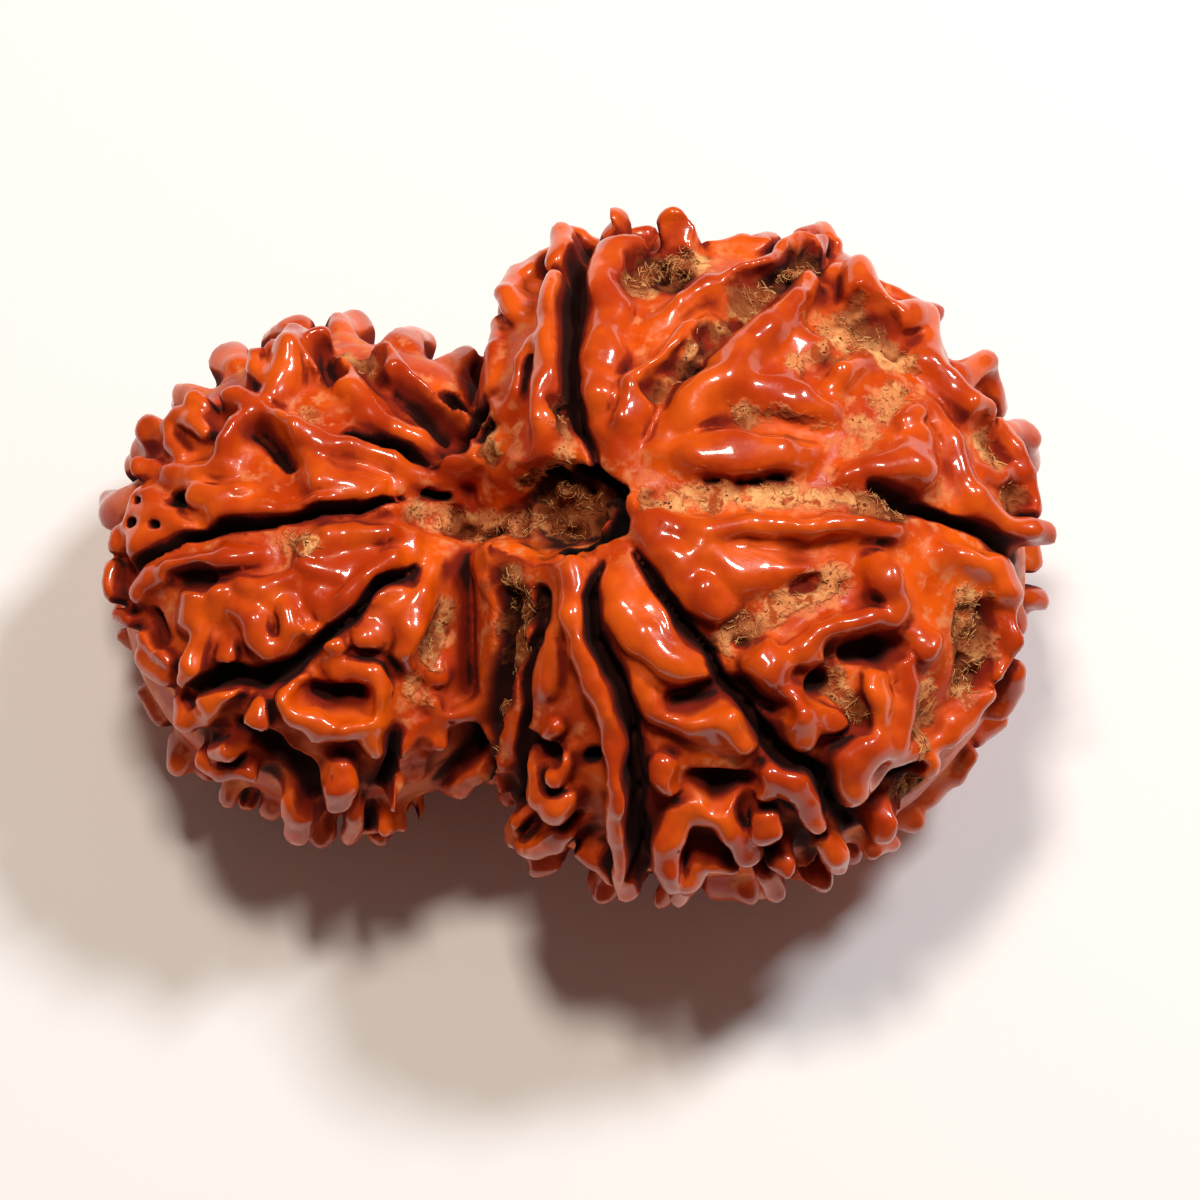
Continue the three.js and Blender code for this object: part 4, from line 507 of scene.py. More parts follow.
# A rib's foot line on the floor, with its half widths and heights.
def drawnRib(run):
    run = np.array(run, float)
    at = settle(placeOnPlan(run[:, 0], run[:, 1], run[:, 3]))
    return {"at": at, "r": run[:, 2], "h": run[:, 3], "root": np.full(len(run), relief["root"])}


# What is cut in: half width and height of its bottom, and the slope of its sides.
def drawnCut(run, slope, mouth=None):
    run = np.array(run, float)
    level = run[:, 3] if mouth is None else np.full(len(run), mouth)
    at = settle(placeOnPlan(run[:, 0], run[:, 1], level))
    return {"at": at, "r": run[:, 2], "h": run[:, 3], "root": np.full(len(run), slope)}


# A dividing line is shallow at its first point.
def drawnLine(run):
    run = [[x, y, r, -relief["lineDepth"]] for x, y, r in run]
    run[0][3] = relief["lineStart"]
    return drawnCut(run, relief["lineSlope"], relief["mouth"])


# The same run on the underside, strayed a little.
def mirrored(lobe, run, phase):
    at = run["at"]
    alongX, alongY = hidden["driftTurns"]
    there = np.stack([
        at[:, 0] + hidden["drift"] * np.sin(at[:, 1] * alongX + phase),
        at[:, 1] + hidden["drift"] * np.cos(at[:, 0] * alongY + phase),
        2 * lobe["centre"][2] - at[:, 2]], axis=1)
    return {**run, "at": settle(there)}


def hiddenPart(run):
    keep = outward(run["at"]) @ sight < hidden["facing"]
    return {key: value[keep] for key, value in run.items()}


# Draws that come out the same on every run.
def chance(state):
    while True:
        state = (state * 1664525 + 1013904223) % 4294967296
        yield state / 4294967296


# A draw from a least value up to that and a spread.
def drawn(draw, span):
    return span[0] + span[1] * next(draw)


# Wavy ribs that cross the back rim of a lobe from its upper side to its lower.
def backRibs(lobe, draw):
    ribs = []
    azimuth, end = lobe["back"]
    while azimuth <= end:
        thick = drawn(draw, hidden["halfWidth"])
        wave = hidden["wave"] * (next(draw) - 0.5)
        at, r, h = [], [], []
        for share in hidden["stations"]:
            turn = math.radians(azimuth + wave * math.sin(3 * share))
            lift = math.radians(hidden["reach"] * share)
            way = [math.cos(turn) * math.cos(lift), math.sin(turn) * math.cos(lift), math.sin(lift)]
            at.append(np.array(way) * lobe["radii"] + lobe["centre"])
            r.append(thick * drawn(draw, hidden["swell"]))
            h.append(drawn(draw, hidden["height"]) * (1 - hidden["sink"] * max(share, 0)))
        ribs.append({"at": settle(np.array(at)), "r": np.array(r), "h": np.array(h),
                     "root": np.full(len(r), relief["root"])})
        azimuth += hidden["spacing"] * drawn(draw, hidden["uneven"])
    return ribs


# Smooth noise from a seeded grid of random values, read between its points, of a size in millimetres.
noiseCells = 32
noiseShift = 16.37
noiseGrid = np.random.default_rng(5).random((noiseCells,) * 3).astype(np.float32) * 2 - 1


def noise(x, y, z, size, offset=0.0):
    parts = []
    for value in (x, y, z):
        value = value / size + noiseShift + offset
        whole = np.floor(value)
        share = (value - whole).astype(np.float32)
        parts.append((whole.astype(np.int32) % noiseCells, share * share * (3 - 2 * share)))
    (ix, fx), (iy, fy), (iz, fz) = parts
    jx, jy, jz = ((i + 1) % noiseCells for i in (ix, iy, iz))
    low = ((noiseGrid[ix, iy, iz] * (1 - fx) + noiseGrid[jx, iy, iz] * fx) * (1 - fy)
           + (noiseGrid[ix, jy, iz] * (1 - fx) + noiseGrid[jx, jy, iz] * fx) * fy)
    high = ((noiseGrid[ix, iy, jz] * (1 - fx) + noiseGrid[jx, iy, jz] * fx) * (1 - fy)
            + (noiseGrid[ix, jy, jz] * (1 - fx) + noiseGrid[jx, jy, jz] * fx) * fy)
    return low * (1 - fz) + high * fz


# The grid that the seed's distance is worked out on.
gridLow = np.array(relief["low"])
axes = [np.arange(low, high, relief["step"], dtype=np.float32) for low, high in zip(gridLow, relief["high"])]


# Where a point lies beside a stretch: its share of the length, its rise along the way out, and its
# distance aside from the stretch.
def beside(x, y, z, a, b, out):
    way = b - a
    dx, dy, dz = x - a[0], y - a[1], z - a[2]
    share = np.clip((dx * way[0] + dy * way[1] + dz * way[2]) / max(way.dot(way), 1e-6), 0, 1)
    dx, dy, dz = dx - share * way[0], dy - share * way[1], dz - share * way[2]
    rise = dx * out[0] + dy * out[1] + dz * out[2]
    aside = np.sqrt(np.maximum(dx * dx + dy * dy + dz * dz - rise * rise, 0))
    return share, rise, aside


# A wall stands on the floor: distance from the flat between its foot and crest lines, less its half width.
def wallDistance(share, rise, aside, r, h, root):
    past = np.maximum(rise - (h - r), 0) + np.maximum(-root - rise, 0)
    return np.sqrt(aside * aside + past * past) - r


# A slab has a flat top and round edges.
def slabDistance(share, rise, aside, r, h, root):
    edge = relief["slabEdge"]
    past, over = aside - (r - edge), rise - (h - edge)
    outside = np.sqrt(np.maximum(past, 0) ** 2 + np.maximum(over, 0) ** 2)
    return np.maximum(outside + np.minimum(np.maximum(past, over), 0) - edge, -relief["slabRoot"] - rise)


# A hole with upright walls and a round bottom at height h.
def holeDistance(share, rise, aside, r, h, slope):
    return np.sqrt(aside * aside + np.maximum(h + r - rise, 0) ** 2) - r


# A valley: flat across 2 r at height h, then its sides rise by the slope.
def valleyDistance(share, rise, aside, r, h, slope):
    over = (rise - h - slope * np.maximum(aside - r, 0)) / np.sqrt(1 + slope * slope)
    return np.maximum(-over, aside - r - relief["cutReach"])


# The bottom of a valley, up to a little way over it, for its colour.
def bottomDistance(share, rise, aside, r, h, slope):
    return np.maximum(aside - r, np.abs(rise - h) - relief["bottomHeight"])


# Joins every stretch of the runs into one distance on the grid, each worked out in its own small box
# that reaches past the stretch and up to a height over the floor.
def joinRuns(runs, coords, distance, blend, reach=0.9, tall=0.0):
    field = np.full(coords[0].shape, relief["background"], dtype=np.float32)
    for run in runs:
        if len(run["at"]) < 2:
            continue
        out = outward(run["at"])
        for i in range(len(run["at"]) - 1):
            a, b = run["at"][i], run["at"][i + 1]
            normal = out[i] + out[i + 1]
            normal /= np.linalg.norm(normal)
            r, h, root = ((run[key][i], run[key][i + 1] - run[key][i]) for key in ("r", "h", "root"))
            margin = reach + max(run["r"][i], run["r"][i + 1])
            tops = np.maximum(run["h"][i:i + 2], tall)
            bottoms = np.minimum(run["h"][i:i + 2], 0)
            corners = np.array([a + normal * tops[0], b + normal * tops[1],
                                a + normal * bottoms[0], b + normal * bottoms[1]])
            first = np.floor((corners.min(axis=0) - margin - gridLow) / relief["step"])
            first = np.maximum(first, 0).astype(int)
            last = np.ceil((corners.max(axis=0) + margin - gridLow) / relief["step"]).astype(int)
            box = tuple(slice(lo, hi) for lo, hi in zip(first, last))
            share, rise, aside = beside(*(c[box] for c in coords), a, b, normal)
            found = distance(share, rise, aside, *(start + more * share for start, more in (r, h, root)))
            field[box] = smoothMin(field[box], found.astype(np.float32), blend)
    return field


# Every rib and everything that is cut in, drawn or by rule.
def gatherRuns():
    draw = chance(hidden["seed"])
    ribs, slabs, lines = [], [], []
    for lobe, ribList, slabList, lineList in (
            (largeLobe, largeRibs, largeSlabs, largeLines),
            (smallLobe, smallRibs, smallSlabs, smallLines)):
        above = [drawnRib(run) for run in ribList.values()]
        ribs += above
        ribs += [hiddenPart(mirrored(lobe, run, i * hidden["phaseStep"])) for i, run in enumerate(above)]
        ribs += backRibs(lobe, draw)
        flat = [drawnRib(run) for run in slabList.values()]
        slabs += flat + [hiddenPart(mirrored(lobe, run, 0)) for run in flat]
        parting = [drawnLine(run) for run in lineList.values()]
        lines += parting + [mirrored(lobe, run, 0) for run in parting]
    beds = [drawnCut(run, relief["bedSlope"]) for run in pithBeds.values()]
    holes = [drawnCut(run, 0, relief["mouth"]) for run in darkHoles.values()]
    hollows = [drawnCut(run, relief["hollowSlope"], relief["mouth"]) for run in darkHollows.values()]
    return ribs, slabs, lines, beds, holes, hollows


# Feet are short posts from the floor down to the ground.
def feetDistance(x, y, z):
    nearest = np.full(x.shape, 9.0, dtype=np.float32)
    for fx, fy in form["feet"]:
        down = np.maximum(z - form["footTop"], 0) + np.maximum(form["footBottom"] - z, 0)
        post = np.sqrt((x - fx) ** 2 + (y - fy) ** 2 + down * down) - form["footRadius"]
        nearest = np.minimum(nearest, post)
    return nearest


def sampleGrid(field, points):
    where = (points - gridLow) / relief["step"]
    whole = np.clip(np.floor(where).astype(int), 0, np.array(field.shape) - 2)
    share = (where - whole).astype(np.float32)
    total = 0
    for corner in np.ndindex(2, 2, 2):
        pick = whole + corner
        weight = np.prod(np.where(np.array(corner), share, 1 - share), axis=1)
        total = total + field[pick[:, 0], pick[:, 1], pick[:, 2]] * weight
    return total


# Keeps the largest connected part of a mesh. Each round gives both ends of an edge the lower
# label, then follows labels to their own labels.
def largestPart(points, quads):
    label = np.arange(len(points))
    edges = np.concatenate([quads[:, [0, 1]], quads[:, [1, 2]], quads[:, [2, 3]]])
    while True:
        low = np.minimum(label[edges[:, 0]], label[edges[:, 1]])
        following = label.copy()
        np.minimum.at(following, edges[:, 0], low)
        np.minimum.at(following, edges[:, 1], low)
        following = following[following]
        if (following == label).all():
            break
        label = following
    keepLabel = np.bincount(label).argmax()
    keep = label == keepLabel
    renumber = np.cumsum(keep) - 1
    return points[keep], renumber[quads[keep[quads[:, 0]]]]


# Height of the skin over the floor: by the height over a lobe's middle, as a share of its upright radius.
# The two lobes' middles and radii pass into each other at the seam.
def skinLevel(x, z):
    part = np.clip((x - relief["seamStart"]) / relief["seamSpan"], 0, 1)
    middle, half = (smallLobe[key][2] + part * (largeLobe[key][2] - smallLobe[key][2])
                    for key in ("centre", "radii"))
    share = np.clip((np.abs(z - middle) / half - relief["skinStart"]) / relief["skinSpan"], 0, 1)
    return relief["rimSkin"] + (relief["topSkin"] - relief["rimSkin"]) * share * share * (3 - 2 * share)


# Distance from the solid's box.
def boxDistance(x, y, z):
    low, high, gap = 1000 * np.array(cadLow), 1000 * np.array(cadHigh), relief["boxGap"]
    past = [np.maximum(low[k] + gap - c - shift, c + shift - high[k] + gap)
            for k, (c, shift) in enumerate(zip((x, y), form["middleShift"]))]
    return np.maximum(np.maximum(*past), z - high[2] + gap).astype(np.float32)


# The seed's distance: the skin over the floor, joined by slabs and by the ribs' walls, with the beds,
# dividing lines, hollows and holes cut in. Noise makes the ribs stray and roughens the beds.
def seedField():
    ribs, slabs, lines, beds, holes, hollows = gatherRuns()
    coords = np.meshgrid(*axes, indexing="ij")
    x, y, z = coords
    stray = [c + relief["wobble"] * noise(x, y, z, relief["wobbleSize"], relief["wobbleShift"] * k)
             for k, c in enumerate(coords)]
    floor = floorDistance(x, y, z).astype(np.float32)
    walls = np.minimum(joinRuns(ribs, stray, wallDistance, relief["ribBlend"]), feetDistance(x, y, z))
    sheets = joinRuns(slabs, stray, slabDistance, relief["slabBlend"])
    print("ribs joined:", len(ribs))
    valley = valleyDistance, relief["cutJoin"], relief["cutMargin"], relief["cutTall"]
    bedCuts = joinRuns(beds, stray, valleyDistance, relief["bedJoin"], *valley[2:])
    lineCuts = joinRuns(lines, stray, *valley)
    hollowCuts = joinRuns(hollows, stray, *valley)
    holeCuts = joinRuns(holes, stray, holeDistance, relief["cutJoin"],
                        relief["holeMargin"], relief["cutTall"])
    print("beds, lines, holes and hollows joined")
    near = (floor > relief["noiseFrom"]) & (floor < relief["noiseTo"])
    nearPlaces = x[near], y[near], z[near]
    rough, fine = np.zeros_like(floor), np.zeros_like(floor)
    rough[near] = sum(share * noise(*nearPlaces, size, shift)
                      for share, size, shift in (relief["coarse"], relief["fine"]))
    fine[near] = noise(*nearPlaces, *relief["skinNoise"])
    whole = smoothMin(floor - skinLevel(x, z), sheets, relief["slabBlend"])
    whole = smoothMin(whole, walls, relief["wallBlend"]) + relief["skinRough"] * fine
    whole = smoothMax(whole, -bedCuts + relief["bedRough"] * rough, relief["bedBlend"])
    whole = smoothMax(whole, -lineCuts, relief["cutBlend"])
    whole = smoothMax(whole, -hollowCuts, relief["cutBlend"])
    whole = smoothMax(whole, -holeCuts + relief["holeRough"] * rough, relief["cutBlend"])
    whole = smoothMax(whole, boxDistance(x, y, z), relief["boxBlend"])
    whole = np.maximum(whole, -z)
    bottoms = joinRuns(beds, stray, bottomDistance, relief["markJoin"],
                       relief["cutMargin"], relief["markTall"])
    return whole, {"bed": bottoms, "hole": holeCuts}


# How closed in each point is: 0 in the open, towards 1 in a narrow gap. A little way straight out from
# an open place, the distance from the seed is as long as that way; in a gap it is shorter.
def closedIn(field, points, normals):
    total = 0
    for way, weight in relief["gapWays"]:
        total = total + weight * np.clip(1 - sampleGrid(field, points + way * normals) / way, 0, 1)
    return total


def makeSeed():
    whole, fields = seedField()
    grid = openvdb.FloatGrid(background=relief["background"])
    grid.copyFromArray(np.ascontiguousarray(whole, dtype=np.float32))
    grid.transform = openvdb.createLinearTransform(voxelSize=relief["step"])
    points, _, quads = grid.convertToPolygons(isovalue=0.0, adaptivity=0.0)
    points, quads = largestPart(points + gridLow, quads.astype(int))
    print("surface:", len(quads), "quads")
    mesh = bpy.data.meshes.new("seedSurface")
    mesh.from_pydata(points, [], quads)
    seed = bpy.data.objects.new("ribbedSeed", mesh)
    bpy.context.collection.objects.link(seed)
    thin = seed.modifiers.new("fewerFaces", "DECIMATE")
    thin.ratio = min(1.0, relief["mostTriangles"] / (2 * len(quads)))
    thinned = seed.evaluated_get(bpy.context.evaluated_depsgraph_get())
    shape = bpy.data.meshes.new_from_object(thinned)
    seed.modifiers.clear()
    seed.data = shape
    bpy.data.meshes.remove(mesh)
    places = np.empty(len(shape.vertices) * 3, dtype=np.float32)
    shape.vertices.foreach_get("co", places)
    places = places.reshape(-1, 3)
    normals = np.empty(len(places) * 3, dtype=np.float32)
    shape.vertex_normals.foreach_get("vector", normals)
    marks = {"rise": floorDistance(*places.T), "gap": closedIn(whole, places, normals.reshape(-1, 3))}
    marks.update({name: sampleGrid(field, places) for name, field in fields.items()})
    for name, values in marks.items():
        shape.attributes.new(name, "FLOAT", "POINT").data.foreach_set("value", values.astype(np.float32))
    places = (places + [*form["middleShift"], 0]) / 1000
    shape.vertices.foreach_set("co", places.astype(np.float32).ravel())
    shape.shade_smooth()
    shape.update()
    print("seed made:", len(shape.polygons), "faces")
    return seed


# Small helpers for shader nodes. A socket is given a number or a colour, or is linked.
def feed(tree, socket, value):
    if isinstance(value, tuple):
        socket.default_value = (*value, 1)
    elif isinstance(value, (int, float)):
        socket.default_value = value
    else:
        tree.links.new(value, socket)


def maths(tree, operation, first, second, clamp=False):
    node = tree.nodes.new("ShaderNodeMath")
    node.operation = operation
    node.use_clamp = clamp
    feed(tree, node.inputs[0], first)
    feed(tree, node.inputs[1], second)
    return node.outputs[0]


# Goes smoothly from 0 to 1 as a value goes from low to high.
def ramp(tree, value, low, high):
    node = tree.nodes.new("ShaderNodeMapRange")
    node.interpolation_type = "SMOOTHSTEP"
    for name, given in (("Value", value), ("From Min", low), ("From Max", high)):
        feed(tree, node.inputs[name], given)
    return node.outputs["Result"]


def blendColours(tree, share, first, second):
    node = tree.nodes.new("ShaderNodeMix")
    node.data_type = "RGBA"
    for name, given in (("Factor", share), ("A", first), ("B", second)):
        feed(tree, node.inputs[name], given)
    return node.outputs["Result"]


# Noise at a scale of repeats in a metre.
def noiseNode(tree, place, scale, detail=3.0, roughness=0.55):
    node = tree.nodes.new("ShaderNodeTexNoise")
    for name, given in (("Scale", scale), ("Detail", detail), ("Roughness", roughness), ("Vector", place)):
        feed(tree, node.inputs[name], given)
    return node.outputs["Fac"]


def readMark(tree, name):
    node = tree.nodes.new("ShaderNodeAttribute")
    node.attribute_name = name
    return node.outputs["Fac"]


# Colours of the seed. The dark red skin shade, the near-black for crevices and for holes, and the deep pith
# brown are painted shade, standing in for the shade in closed-in places.
finish = {
    "ribDark": (0.50, 0.038, 0.001), "ribBright": (0.80, 0.108, 0.003), "ribDust": (0.74, 0.22, 0.075),
    "shade": (0.20, 0.010, 0.001), "creviceShade": (0.025, 0.002, 0.0005), "groove": (0.006, 0.002, 0.001),
    "pithDark": (0.07, 0.012, 0.002), "pithTan": (0.72, 0.26, 0.09), "pithPale": (0.90, 0.52, 0.19),
    "pithRed": (0.42, 0.07, 0.012), "pithShade": (0.22, 0.045, 0.009),
}


# Tan pith with paler patches, for the beds and, finer, for the fibres: the patches are noise of the given
# scale, over a ramp from the first level to the second.
def makePithGroup():
    group = bpy.data.node_groups.new("tanPith", "ShaderNodeTree")
    for name, kind in (("Place", "Vector"), ("Scale", "Float"), ("First", "Float"), ("Second", "Float")):
        group.interface.new_socket(name, in_out="INPUT", socket_type="NodeSocket" + kind)
    for name, kind in (("Colour", "Color"), ("Patches", "Float")):
        group.interface.new_socket(name, in_out="OUTPUT", socket_type="NodeSocket" + kind)
    given = group.nodes.new("NodeGroupInput").outputs
    result = group.nodes.new("NodeGroupOutput").inputs
    patches = noiseNode(group, given["Place"], given["Scale"])
    pale = ramp(group, patches, given["First"], given["Second"])
    group.links.new(blendColours(group, pale, finish["pithTan"], finish["pithPale"]), result["Colour"])
    group.links.new(patches, result["Patches"])
    return group


def placePith(tree, place, scale, levels):
    node = tree.nodes.new("ShaderNodeGroup")
    node.node_tree = pithGroup
    for name, given in (("Place", place), ("Scale", scale), ("First", levels[0]), ("Second", levels[1])):
        feed(tree, node.inputs[name], given)
    return node.outputs["Colour"], node.outputs["Patches"]


pithGroup = makePithGroup()

# Sizes of noise are in millimetres. A pair is where a ramp starts and ends.
surface = {
    "broadSize": 2.6, "middlingSize": 1.1, "smallSize": 0.6, "grainSize": 0.30,
    "bright": (0.35, 0.68), "dustRise": (1.0, 0.5), "dustGap": (0.45, 0.25), "dustPatches": (0.48, 0.68),
    "shadeGap": (0.27, 0.60), "creviceShadeRise": (0.45, 0.0), "creviceShadeGap": (0.2, 0.45), "deepCreviceShadeGap": (0.62, 0.85),
    "pale": (0.42, 0.62), "red": (0.46, 0.36), "pores": (0.60, 0.66), "pithShadeGap": (0.20, 0.60),
    "pithDarkShadeGap": (0.55, 0.85), "bedEdge": (1.45, 1.15), "ragged": 1.6,
    "holeShadeEdge": (0.14, 0.02), "holeShadeRise": (0.6, 0.0), "dullGap": (0.22, 0.45), "shineRise": (0.5, 1.2),
    "roughness": 0.24, "dullRoughness": 0.6, "patchyRoughness": 0.12, "specular": 0.22,
    "coat": 0.8, "coatRoughness": 0.08,
    "bump": 0.00012, "skinBump": 0.12, "bedGrit": 0.5, "skinGrit": 0.05,
}


def seedFinish():
    material = bpy.data.materials.new("seedFinish")
    material.use_nodes = True
    tree = material.node_tree
    shader = tree.nodes["Principled BSDF"]
    place = tree.nodes.new("ShaderNodeTexCoord").outputs["Object"]
    gap, rise, bed, hole = (readMark(tree, name) for name in ("gap", "rise", "bed", "hole"))
    broad = noiseNode(tree, place, 1000 / surface["broadSize"])
    small = noiseNode(tree, place, 1000 / surface["smallSize"], 4.0)
    grain = noiseNode(tree, place, 1000 / surface["grainSize"], 2.0, 0.7)
    pith, middling = placePith(tree, place, 1000 / surface["middlingSize"], surface["pale"])
    skin = blendColours(tree, ramp(tree, broad, *surface["bright"]), finish["ribDark"], finish["ribBright"])
    low = maths(tree, "MULTIPLY", ramp(tree, rise, *surface["dustRise"]),
                ramp(tree, gap, *surface["dustGap"]))
    dusty = maths(tree, "MULTIPLY", low, ramp(tree, small, *surface["dustPatches"]))
    skin = blendColours(tree, dusty, skin, finish["ribDust"])
    skin = blendColours(tree, ramp(tree, gap, *surface["shadeGap"]), skin, finish["shade"])
    # Painted shade: the skin is painted near-black where it lies low and closed in, and in the narrowest
    # gaps, standing in for the shade that falls in crevices.
    creviceShadeMask = maths(tree, "MULTIPLY", ramp(tree, rise, *surface["creviceShadeRise"]),
                 ramp(tree, gap, *surface["creviceShadeGap"]))
    creviceShadeMask = maths(tree, "MAXIMUM", creviceShadeMask, ramp(tree, gap, *surface["deepCreviceShadeGap"]))
    skin = blendColours(tree, creviceShadeMask, skin, finish["creviceShade"])
    pith = blendColours(tree, ramp(tree, small, *surface["red"]), pith, finish["pithRed"])
    pith = blendColours(tree, ramp(tree, grain, *surface["pores"]), pith, finish["pithDark"])
    # Painted shade: the pith is painted darker, then near-black, where it is closed in, standing in for the
    # shade in narrow gaps.
    pith = blendColours(tree, ramp(tree, gap, *surface["pithShadeGap"]), pith, finish["pithShade"])
    pith = blendColours(tree, ramp(tree, gap, *surface["pithDarkShadeGap"]), pith, finish["pithDark"])
    ragged = maths(tree, "ADD", small, maths(tree, "MULTIPLY", middling, surface["ragged"]))
    inBed = ramp(tree, maths(tree, "ADD", bed, ragged), *surface["bedEdge"])
    colour = blendColours(tree, inBed, skin, pith)
    # Painted shade: the inside of the holes is painted near-black, standing in for the shade deep in them.
    holeShadeMask = maths(tree, "MULTIPLY", ramp(tree, hole, *surface["holeShadeEdge"]),
                 ramp(tree, rise, *surface["holeShadeRise"]))
    colour = blendColours(tree, holeShadeMask, colour, finish["groove"])
    tree.links.new(colour, shader.inputs["Base Color"])
    dull = maths(tree, "MAXIMUM", inBed, dusty)
    dull = maths(tree, "MAXIMUM", dull, ramp(tree, gap, *surface["dullGap"]))
    rough = maths(tree, "ADD", surface["roughness"], maths(tree, "MULTIPLY", dull, surface["dullRoughness"]))
    rough = maths(tree, "ADD", rough, maths(tree, "MULTIPLY", small, surface["patchyRoughness"]))
    tree.links.new(rough, shader.inputs["Roughness"])
    shader.inputs["Specular IOR Level"].default_value = surface["specular"]
    shader.inputs["Coat Roughness"].default_value = surface["coatRoughness"]
    clean = maths(tree, "SUBTRACT", 1.0, dull, clamp=True)
    shine = maths(tree, "MULTIPLY", clean, ramp(tree, rise, *surface["shineRise"]))
    tree.links.new(maths(tree, "MULTIPLY", shine, surface["coat"]), shader.inputs["Coat Weight"])
    bump = tree.nodes.new("ShaderNodeBump")
    bump.inputs["Strength"].default_value = 1.0
    bump.inputs["Distance"].default_value = surface["bump"]
    soft = maths(tree, "MULTIPLY", small, maths(tree, "ADD", inBed, surface["skinBump"]))
    grit = maths(tree, "ADD", maths(tree, "MULTIPLY", inBed, surface["bedGrit"]), surface["skinGrit"])
    height = maths(tree, "ADD", soft, maths(tree, "MULTIPLY", grain, grit))
    tree.links.new(height, bump.inputs["Height"])
    tree.links.new(bump.outputs["Normal"], shader.inputs["Normal"])
    return material


fibres = {
    "seed": 11, "sides": 3, "rings": 4, "count": 4200,
    "radius": [0.010, 0.020], "length": [0.12, 0.6], "lift": [0.0, 0.06], "sway": 0.03, "stray": 0.05,
    "sink": 0.03, "taper": 0.8,
    "patchSize": 0.9, "patchShift": 23.0, "patchLevel": -0.05,   # fibres lie where this noise is high
    "poleX": [-6, 1.8], "poleY": [-0.5, 4],                      # those in the hollow are darker
    "poleTone": 0.35, "tones": 0.75,
    "grainSize": 0.3, "pale": (0.35, 0.65), "red": (0.40, 0.80), "dark": (0.7, 1.1),
    "roughness": 0.7, "specular": 0.2,
}


# Torn fibres in the pith: each is an arch whose ends are sunk in the bed, with a round tapered section.
# Along a fibre, share goes 0 to 1: it runs straight by its length, rises by lift times 4 share (1 - share),
# sways by a sine, and its radius falls to the ends.
def makeFibres(ground):
    draw = np.random.default_rng(fibres["seed"])
    places, normals = (np.empty(len(ground.vertices) * 3, dtype=np.float32) for _ in range(2))
    bed = np.empty(len(ground.vertices), dtype=np.float32)
    ground.vertices.foreach_get("co", places)
    ground.vertex_normals.foreach_get("vector", normals)
    ground.attributes["bed"].data.foreach_get("value", bed)
    places, normals = 1000 * places.reshape(-1, 3), normals.reshape(-1, 3)
    patchy = noise(*places.T, fibres["patchSize"], fibres["patchShift"])
    pick = draw.choice(np.flatnonzero((bed < 0.0) & (patchy > fibres["patchLevel"])), fibres["count"])
    roots, outs = places[pick], normals[pick]
    turn = draw.normal(size=roots.shape)
    ways = turn - (turn * outs).sum(axis=1, keepdims=True) * outs
    ways /= np.linalg.norm(ways, axis=1, keepdims=True)
    roots = roots + fibres["stray"] * draw.normal(size=roots.shape)
    inPole = np.logical_and.reduce([(roots[:, k] > low) & (roots[:, k] < high) for k, (low, high) in
                                    enumerate((fibres["poleX"], fibres["poleY"]))])
    tone = fibres["poleTone"] * inPole + fibres["tones"] * draw.random(len(roots))
    roots, ways, outs = (part[:, None, :] for part in (roots, ways, outs))
    count, rings, sides = len(roots), fibres["rings"], fibres["sides"]
    radius, length, lift = (low + (high - low) * draw.random((count, 1, 1)) for low, high in
                            (fibres["radius"], fibres["length"], fibres["lift"]))
    side = np.cross(ways, outs)
    share = np.linspace(0, 1, rings + 2)[None, :, None]
    wave = fibres["sway"] * np.sin(2 * np.pi * (share + draw.random((count, 1, 1))))
    arch = lift * 4 * share * (1 - share) - fibres["sink"]
    line = roots + ways * length * (share - 0.5) + outs * arch + side * wave
    thick = radius * (1 - fibres["taper"] * np.abs(2 * share[:, 1:-1] - 1) ** 3)
    turn = np.linspace(0, 2 * np.pi, sides, endpoint=False)[None, None, :, None]
    ring = line[:, 1:-1, None, :] + thick[..., None] * (
        np.cos(turn) * outs[:, :, None, :] + np.sin(turn) * side[:, :, None, :])
    points = np.concatenate([ring.reshape(count, -1, 3), line[:, :1], line[:, -1:]], axis=1)
    k, s = np.meshgrid(np.arange(rings - 1), np.arange(sides), indexing="ij")
    here, there = (k * sides + s).ravel(), (k * sides + (s + 1) % sides).ravel()
    quads = np.stack([here, there, there + sides, here + sides], axis=1)
    s = np.arange(sides)
    last = (rings - 1) * sides
    fronts = np.stack([np.full(sides, rings * sides), (s + 1) % sides, s], axis=1)
    backs = np.stack([np.full(sides, rings * sides + 1), last + s, last + (s + 1) % sides], axis=1)
    step = (np.arange(count) * points.shape[1])[:, None, None]
    ends = np.concatenate([fronts, backs]) + step
    faces = (quads + step).reshape(-1, 4).tolist() + ends.reshape(-1, 3).tolist()
    mesh = bpy.data.meshes.new("pithFibres")
    mesh.from_pydata((points.reshape(-1, 3) / 1000).tolist(), [], faces)
    mesh.attributes.new("tone", "FLOAT", "POINT").data.foreach_set(
        "value", np.repeat(tone, points.shape[1]).astype(np.float32))
    mesh.shade_smooth()
    piece = bpy.data.objects.new("pithFibres", mesh)
    bpy.context.collection.objects.link(piece)
    print("fibres made:", count)
    return piece


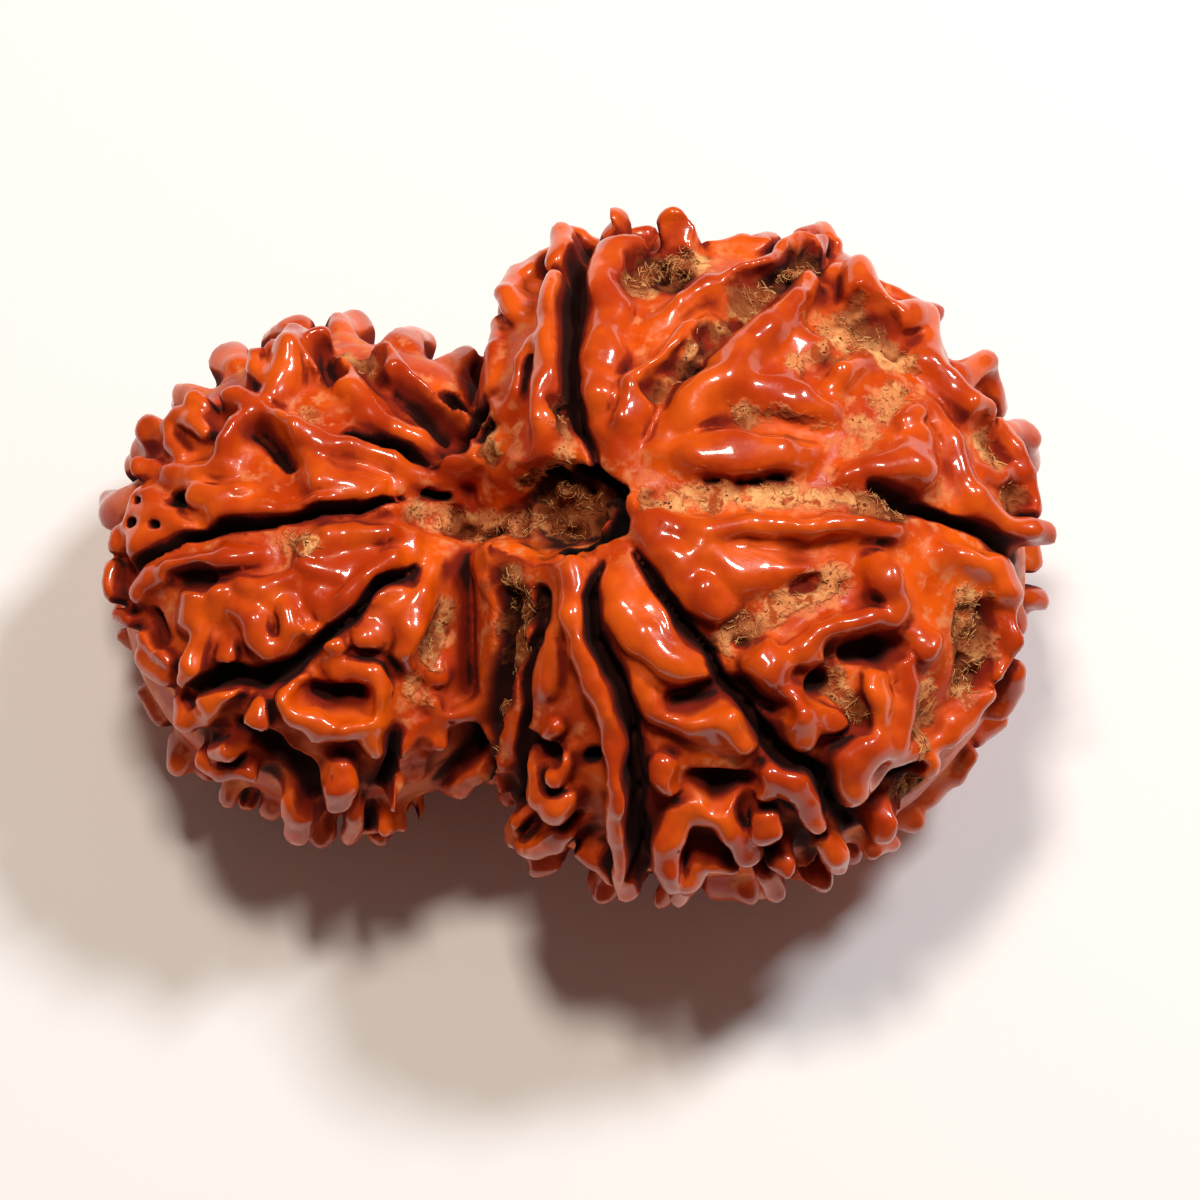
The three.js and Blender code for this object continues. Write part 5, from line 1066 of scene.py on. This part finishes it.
def fibreFinish():
    material = bpy.data.materials.new("fibreFinish")
    material.use_nodes = True
    tree = material.node_tree
    shader = tree.nodes["Principled BSDF"]
    place = tree.nodes.new("ShaderNodeTexCoord").outputs["Object"]
    tan, _ = placePith(tree, place, 1000 / fibres["grainSize"], fibres["pale"])
    tone = readMark(tree, "tone")
    colour = blendColours(tree, ramp(tree, tone, *fibres["red"]), tan, finish["pithRed"])
    colour = blendColours(tree, ramp(tree, tone, *fibres["dark"]), colour, finish["pithDark"])
    tree.links.new(colour, shader.inputs["Base Color"])
    shader.inputs["Roughness"].default_value = fibres["roughness"]
    shader.inputs["Specular IOR Level"].default_value = fibres["specular"]
    return material


seed = makeSeed()
seed.data.materials.clear()
seed.data.materials.append(seedFinish())
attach(seed, "root")
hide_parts("rudraksha_seed")

strands = makeFibres(seed.data)
strands.data.materials.append(fibreFinish())
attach(strands, "root")

view = {
    "distance": 0.30, "pixelsPerMm": 27.0, "framePixels": 1200, "originPixel": (576, 555),
    "sensor": 36, "clip": 0.01,
}


# The camera stands where the photo's does: over the front, looking down at the plan's angle.
def makeCamera():
    half = view["framePixels"] / 2
    across = (half - view["originPixel"][0]) / view["pixelsPerMm"]
    up = (view["originPixel"][1] - half) / view["pixelsPerMm"]
    aim = np.array([*form["middleShift"], planLevel]) + across * np.array([1, 0, 0]) + up * planUp
    data = bpy.data.cameras.new("camera")
    data.sensor_width = view["sensor"]
    frameWidth = view["framePixels"] / view["pixelsPerMm"] / 1000
    data.lens = data.sensor_width * view["distance"] / frameWidth
    data.clip_start = view["clip"]
    camera = bpy.data.objects.new("camera", data)
    bpy.context.collection.objects.link(camera)
    camera.location = Vector(aim / 1000 + sight * view["distance"])
    camera.rotation_euler = Vector(-sight).to_track_quat("-Z", "Y").to_euler()
    bpy.context.scene.camera = camera


studio = {
    "floorColour": (0.93, 0.93, 0.93), "floorRoughness": 0.8, "floorSize": 3.0,
    "key": {"place": (0.17, 0.14, 0.30), "size": 0.06, "watts": 0.85, "colour": (0.95, 0.98, 1.0)},
    "second": {"place": (-0.03, 0.10, 0.37), "size": 0.06, "watts": 0.85, "colour": (1.0, 0.88, 0.76)},
    "sky": 0.11, "skyColour": (1.0, 0.76, 0.64),
}


def makeStudio():
    half = studio["floorSize"] / 2
    mesh = bpy.data.meshes.new("floor")
    corners = [(-half, -half, 0), (half, -half, 0), (half, half, 0), (-half, half, 0)]
    mesh.from_pydata(corners, [], [(0, 1, 2, 3)])
    floor = bpy.data.objects.new("floor", mesh)
    bpy.context.collection.objects.link(floor)
    material = bpy.data.materials.new("floorFinish")
    material.use_nodes = True
    shader = material.node_tree.nodes["Principled BSDF"]
    shader.inputs["Base Color"].default_value = (*studio["floorColour"], 1)
    shader.inputs["Roughness"].default_value = studio["floorRoughness"]
    mesh.materials.append(material)
    for name in ("key", "second"):
        lamp = studio[name]
        data = bpy.data.lights.new(name, "AREA")
        data.size = lamp["size"]
        data.energy = lamp["watts"]
        data.color = lamp["colour"]
        light = bpy.data.objects.new(name, data)
        bpy.context.collection.objects.link(light)
        light.location = lamp["place"]
        light.rotation_euler = Vector(lamp["place"]).to_track_quat("Z", "Y").to_euler()
    world = bpy.data.worlds.new("sky")
    world.use_nodes = True
    world.node_tree.nodes["Background"].inputs["Color"].default_value = (*studio["skyColour"], 1)
    world.node_tree.nodes["Background"].inputs["Strength"].default_value = studio["sky"]
    bpy.context.scene.world = world
    bpy.context.scene.view_settings.view_transform = "Standard"    # keeps the skin's deep orange


makeCamera()
makeStudio()
print("camera, floor and lights made")
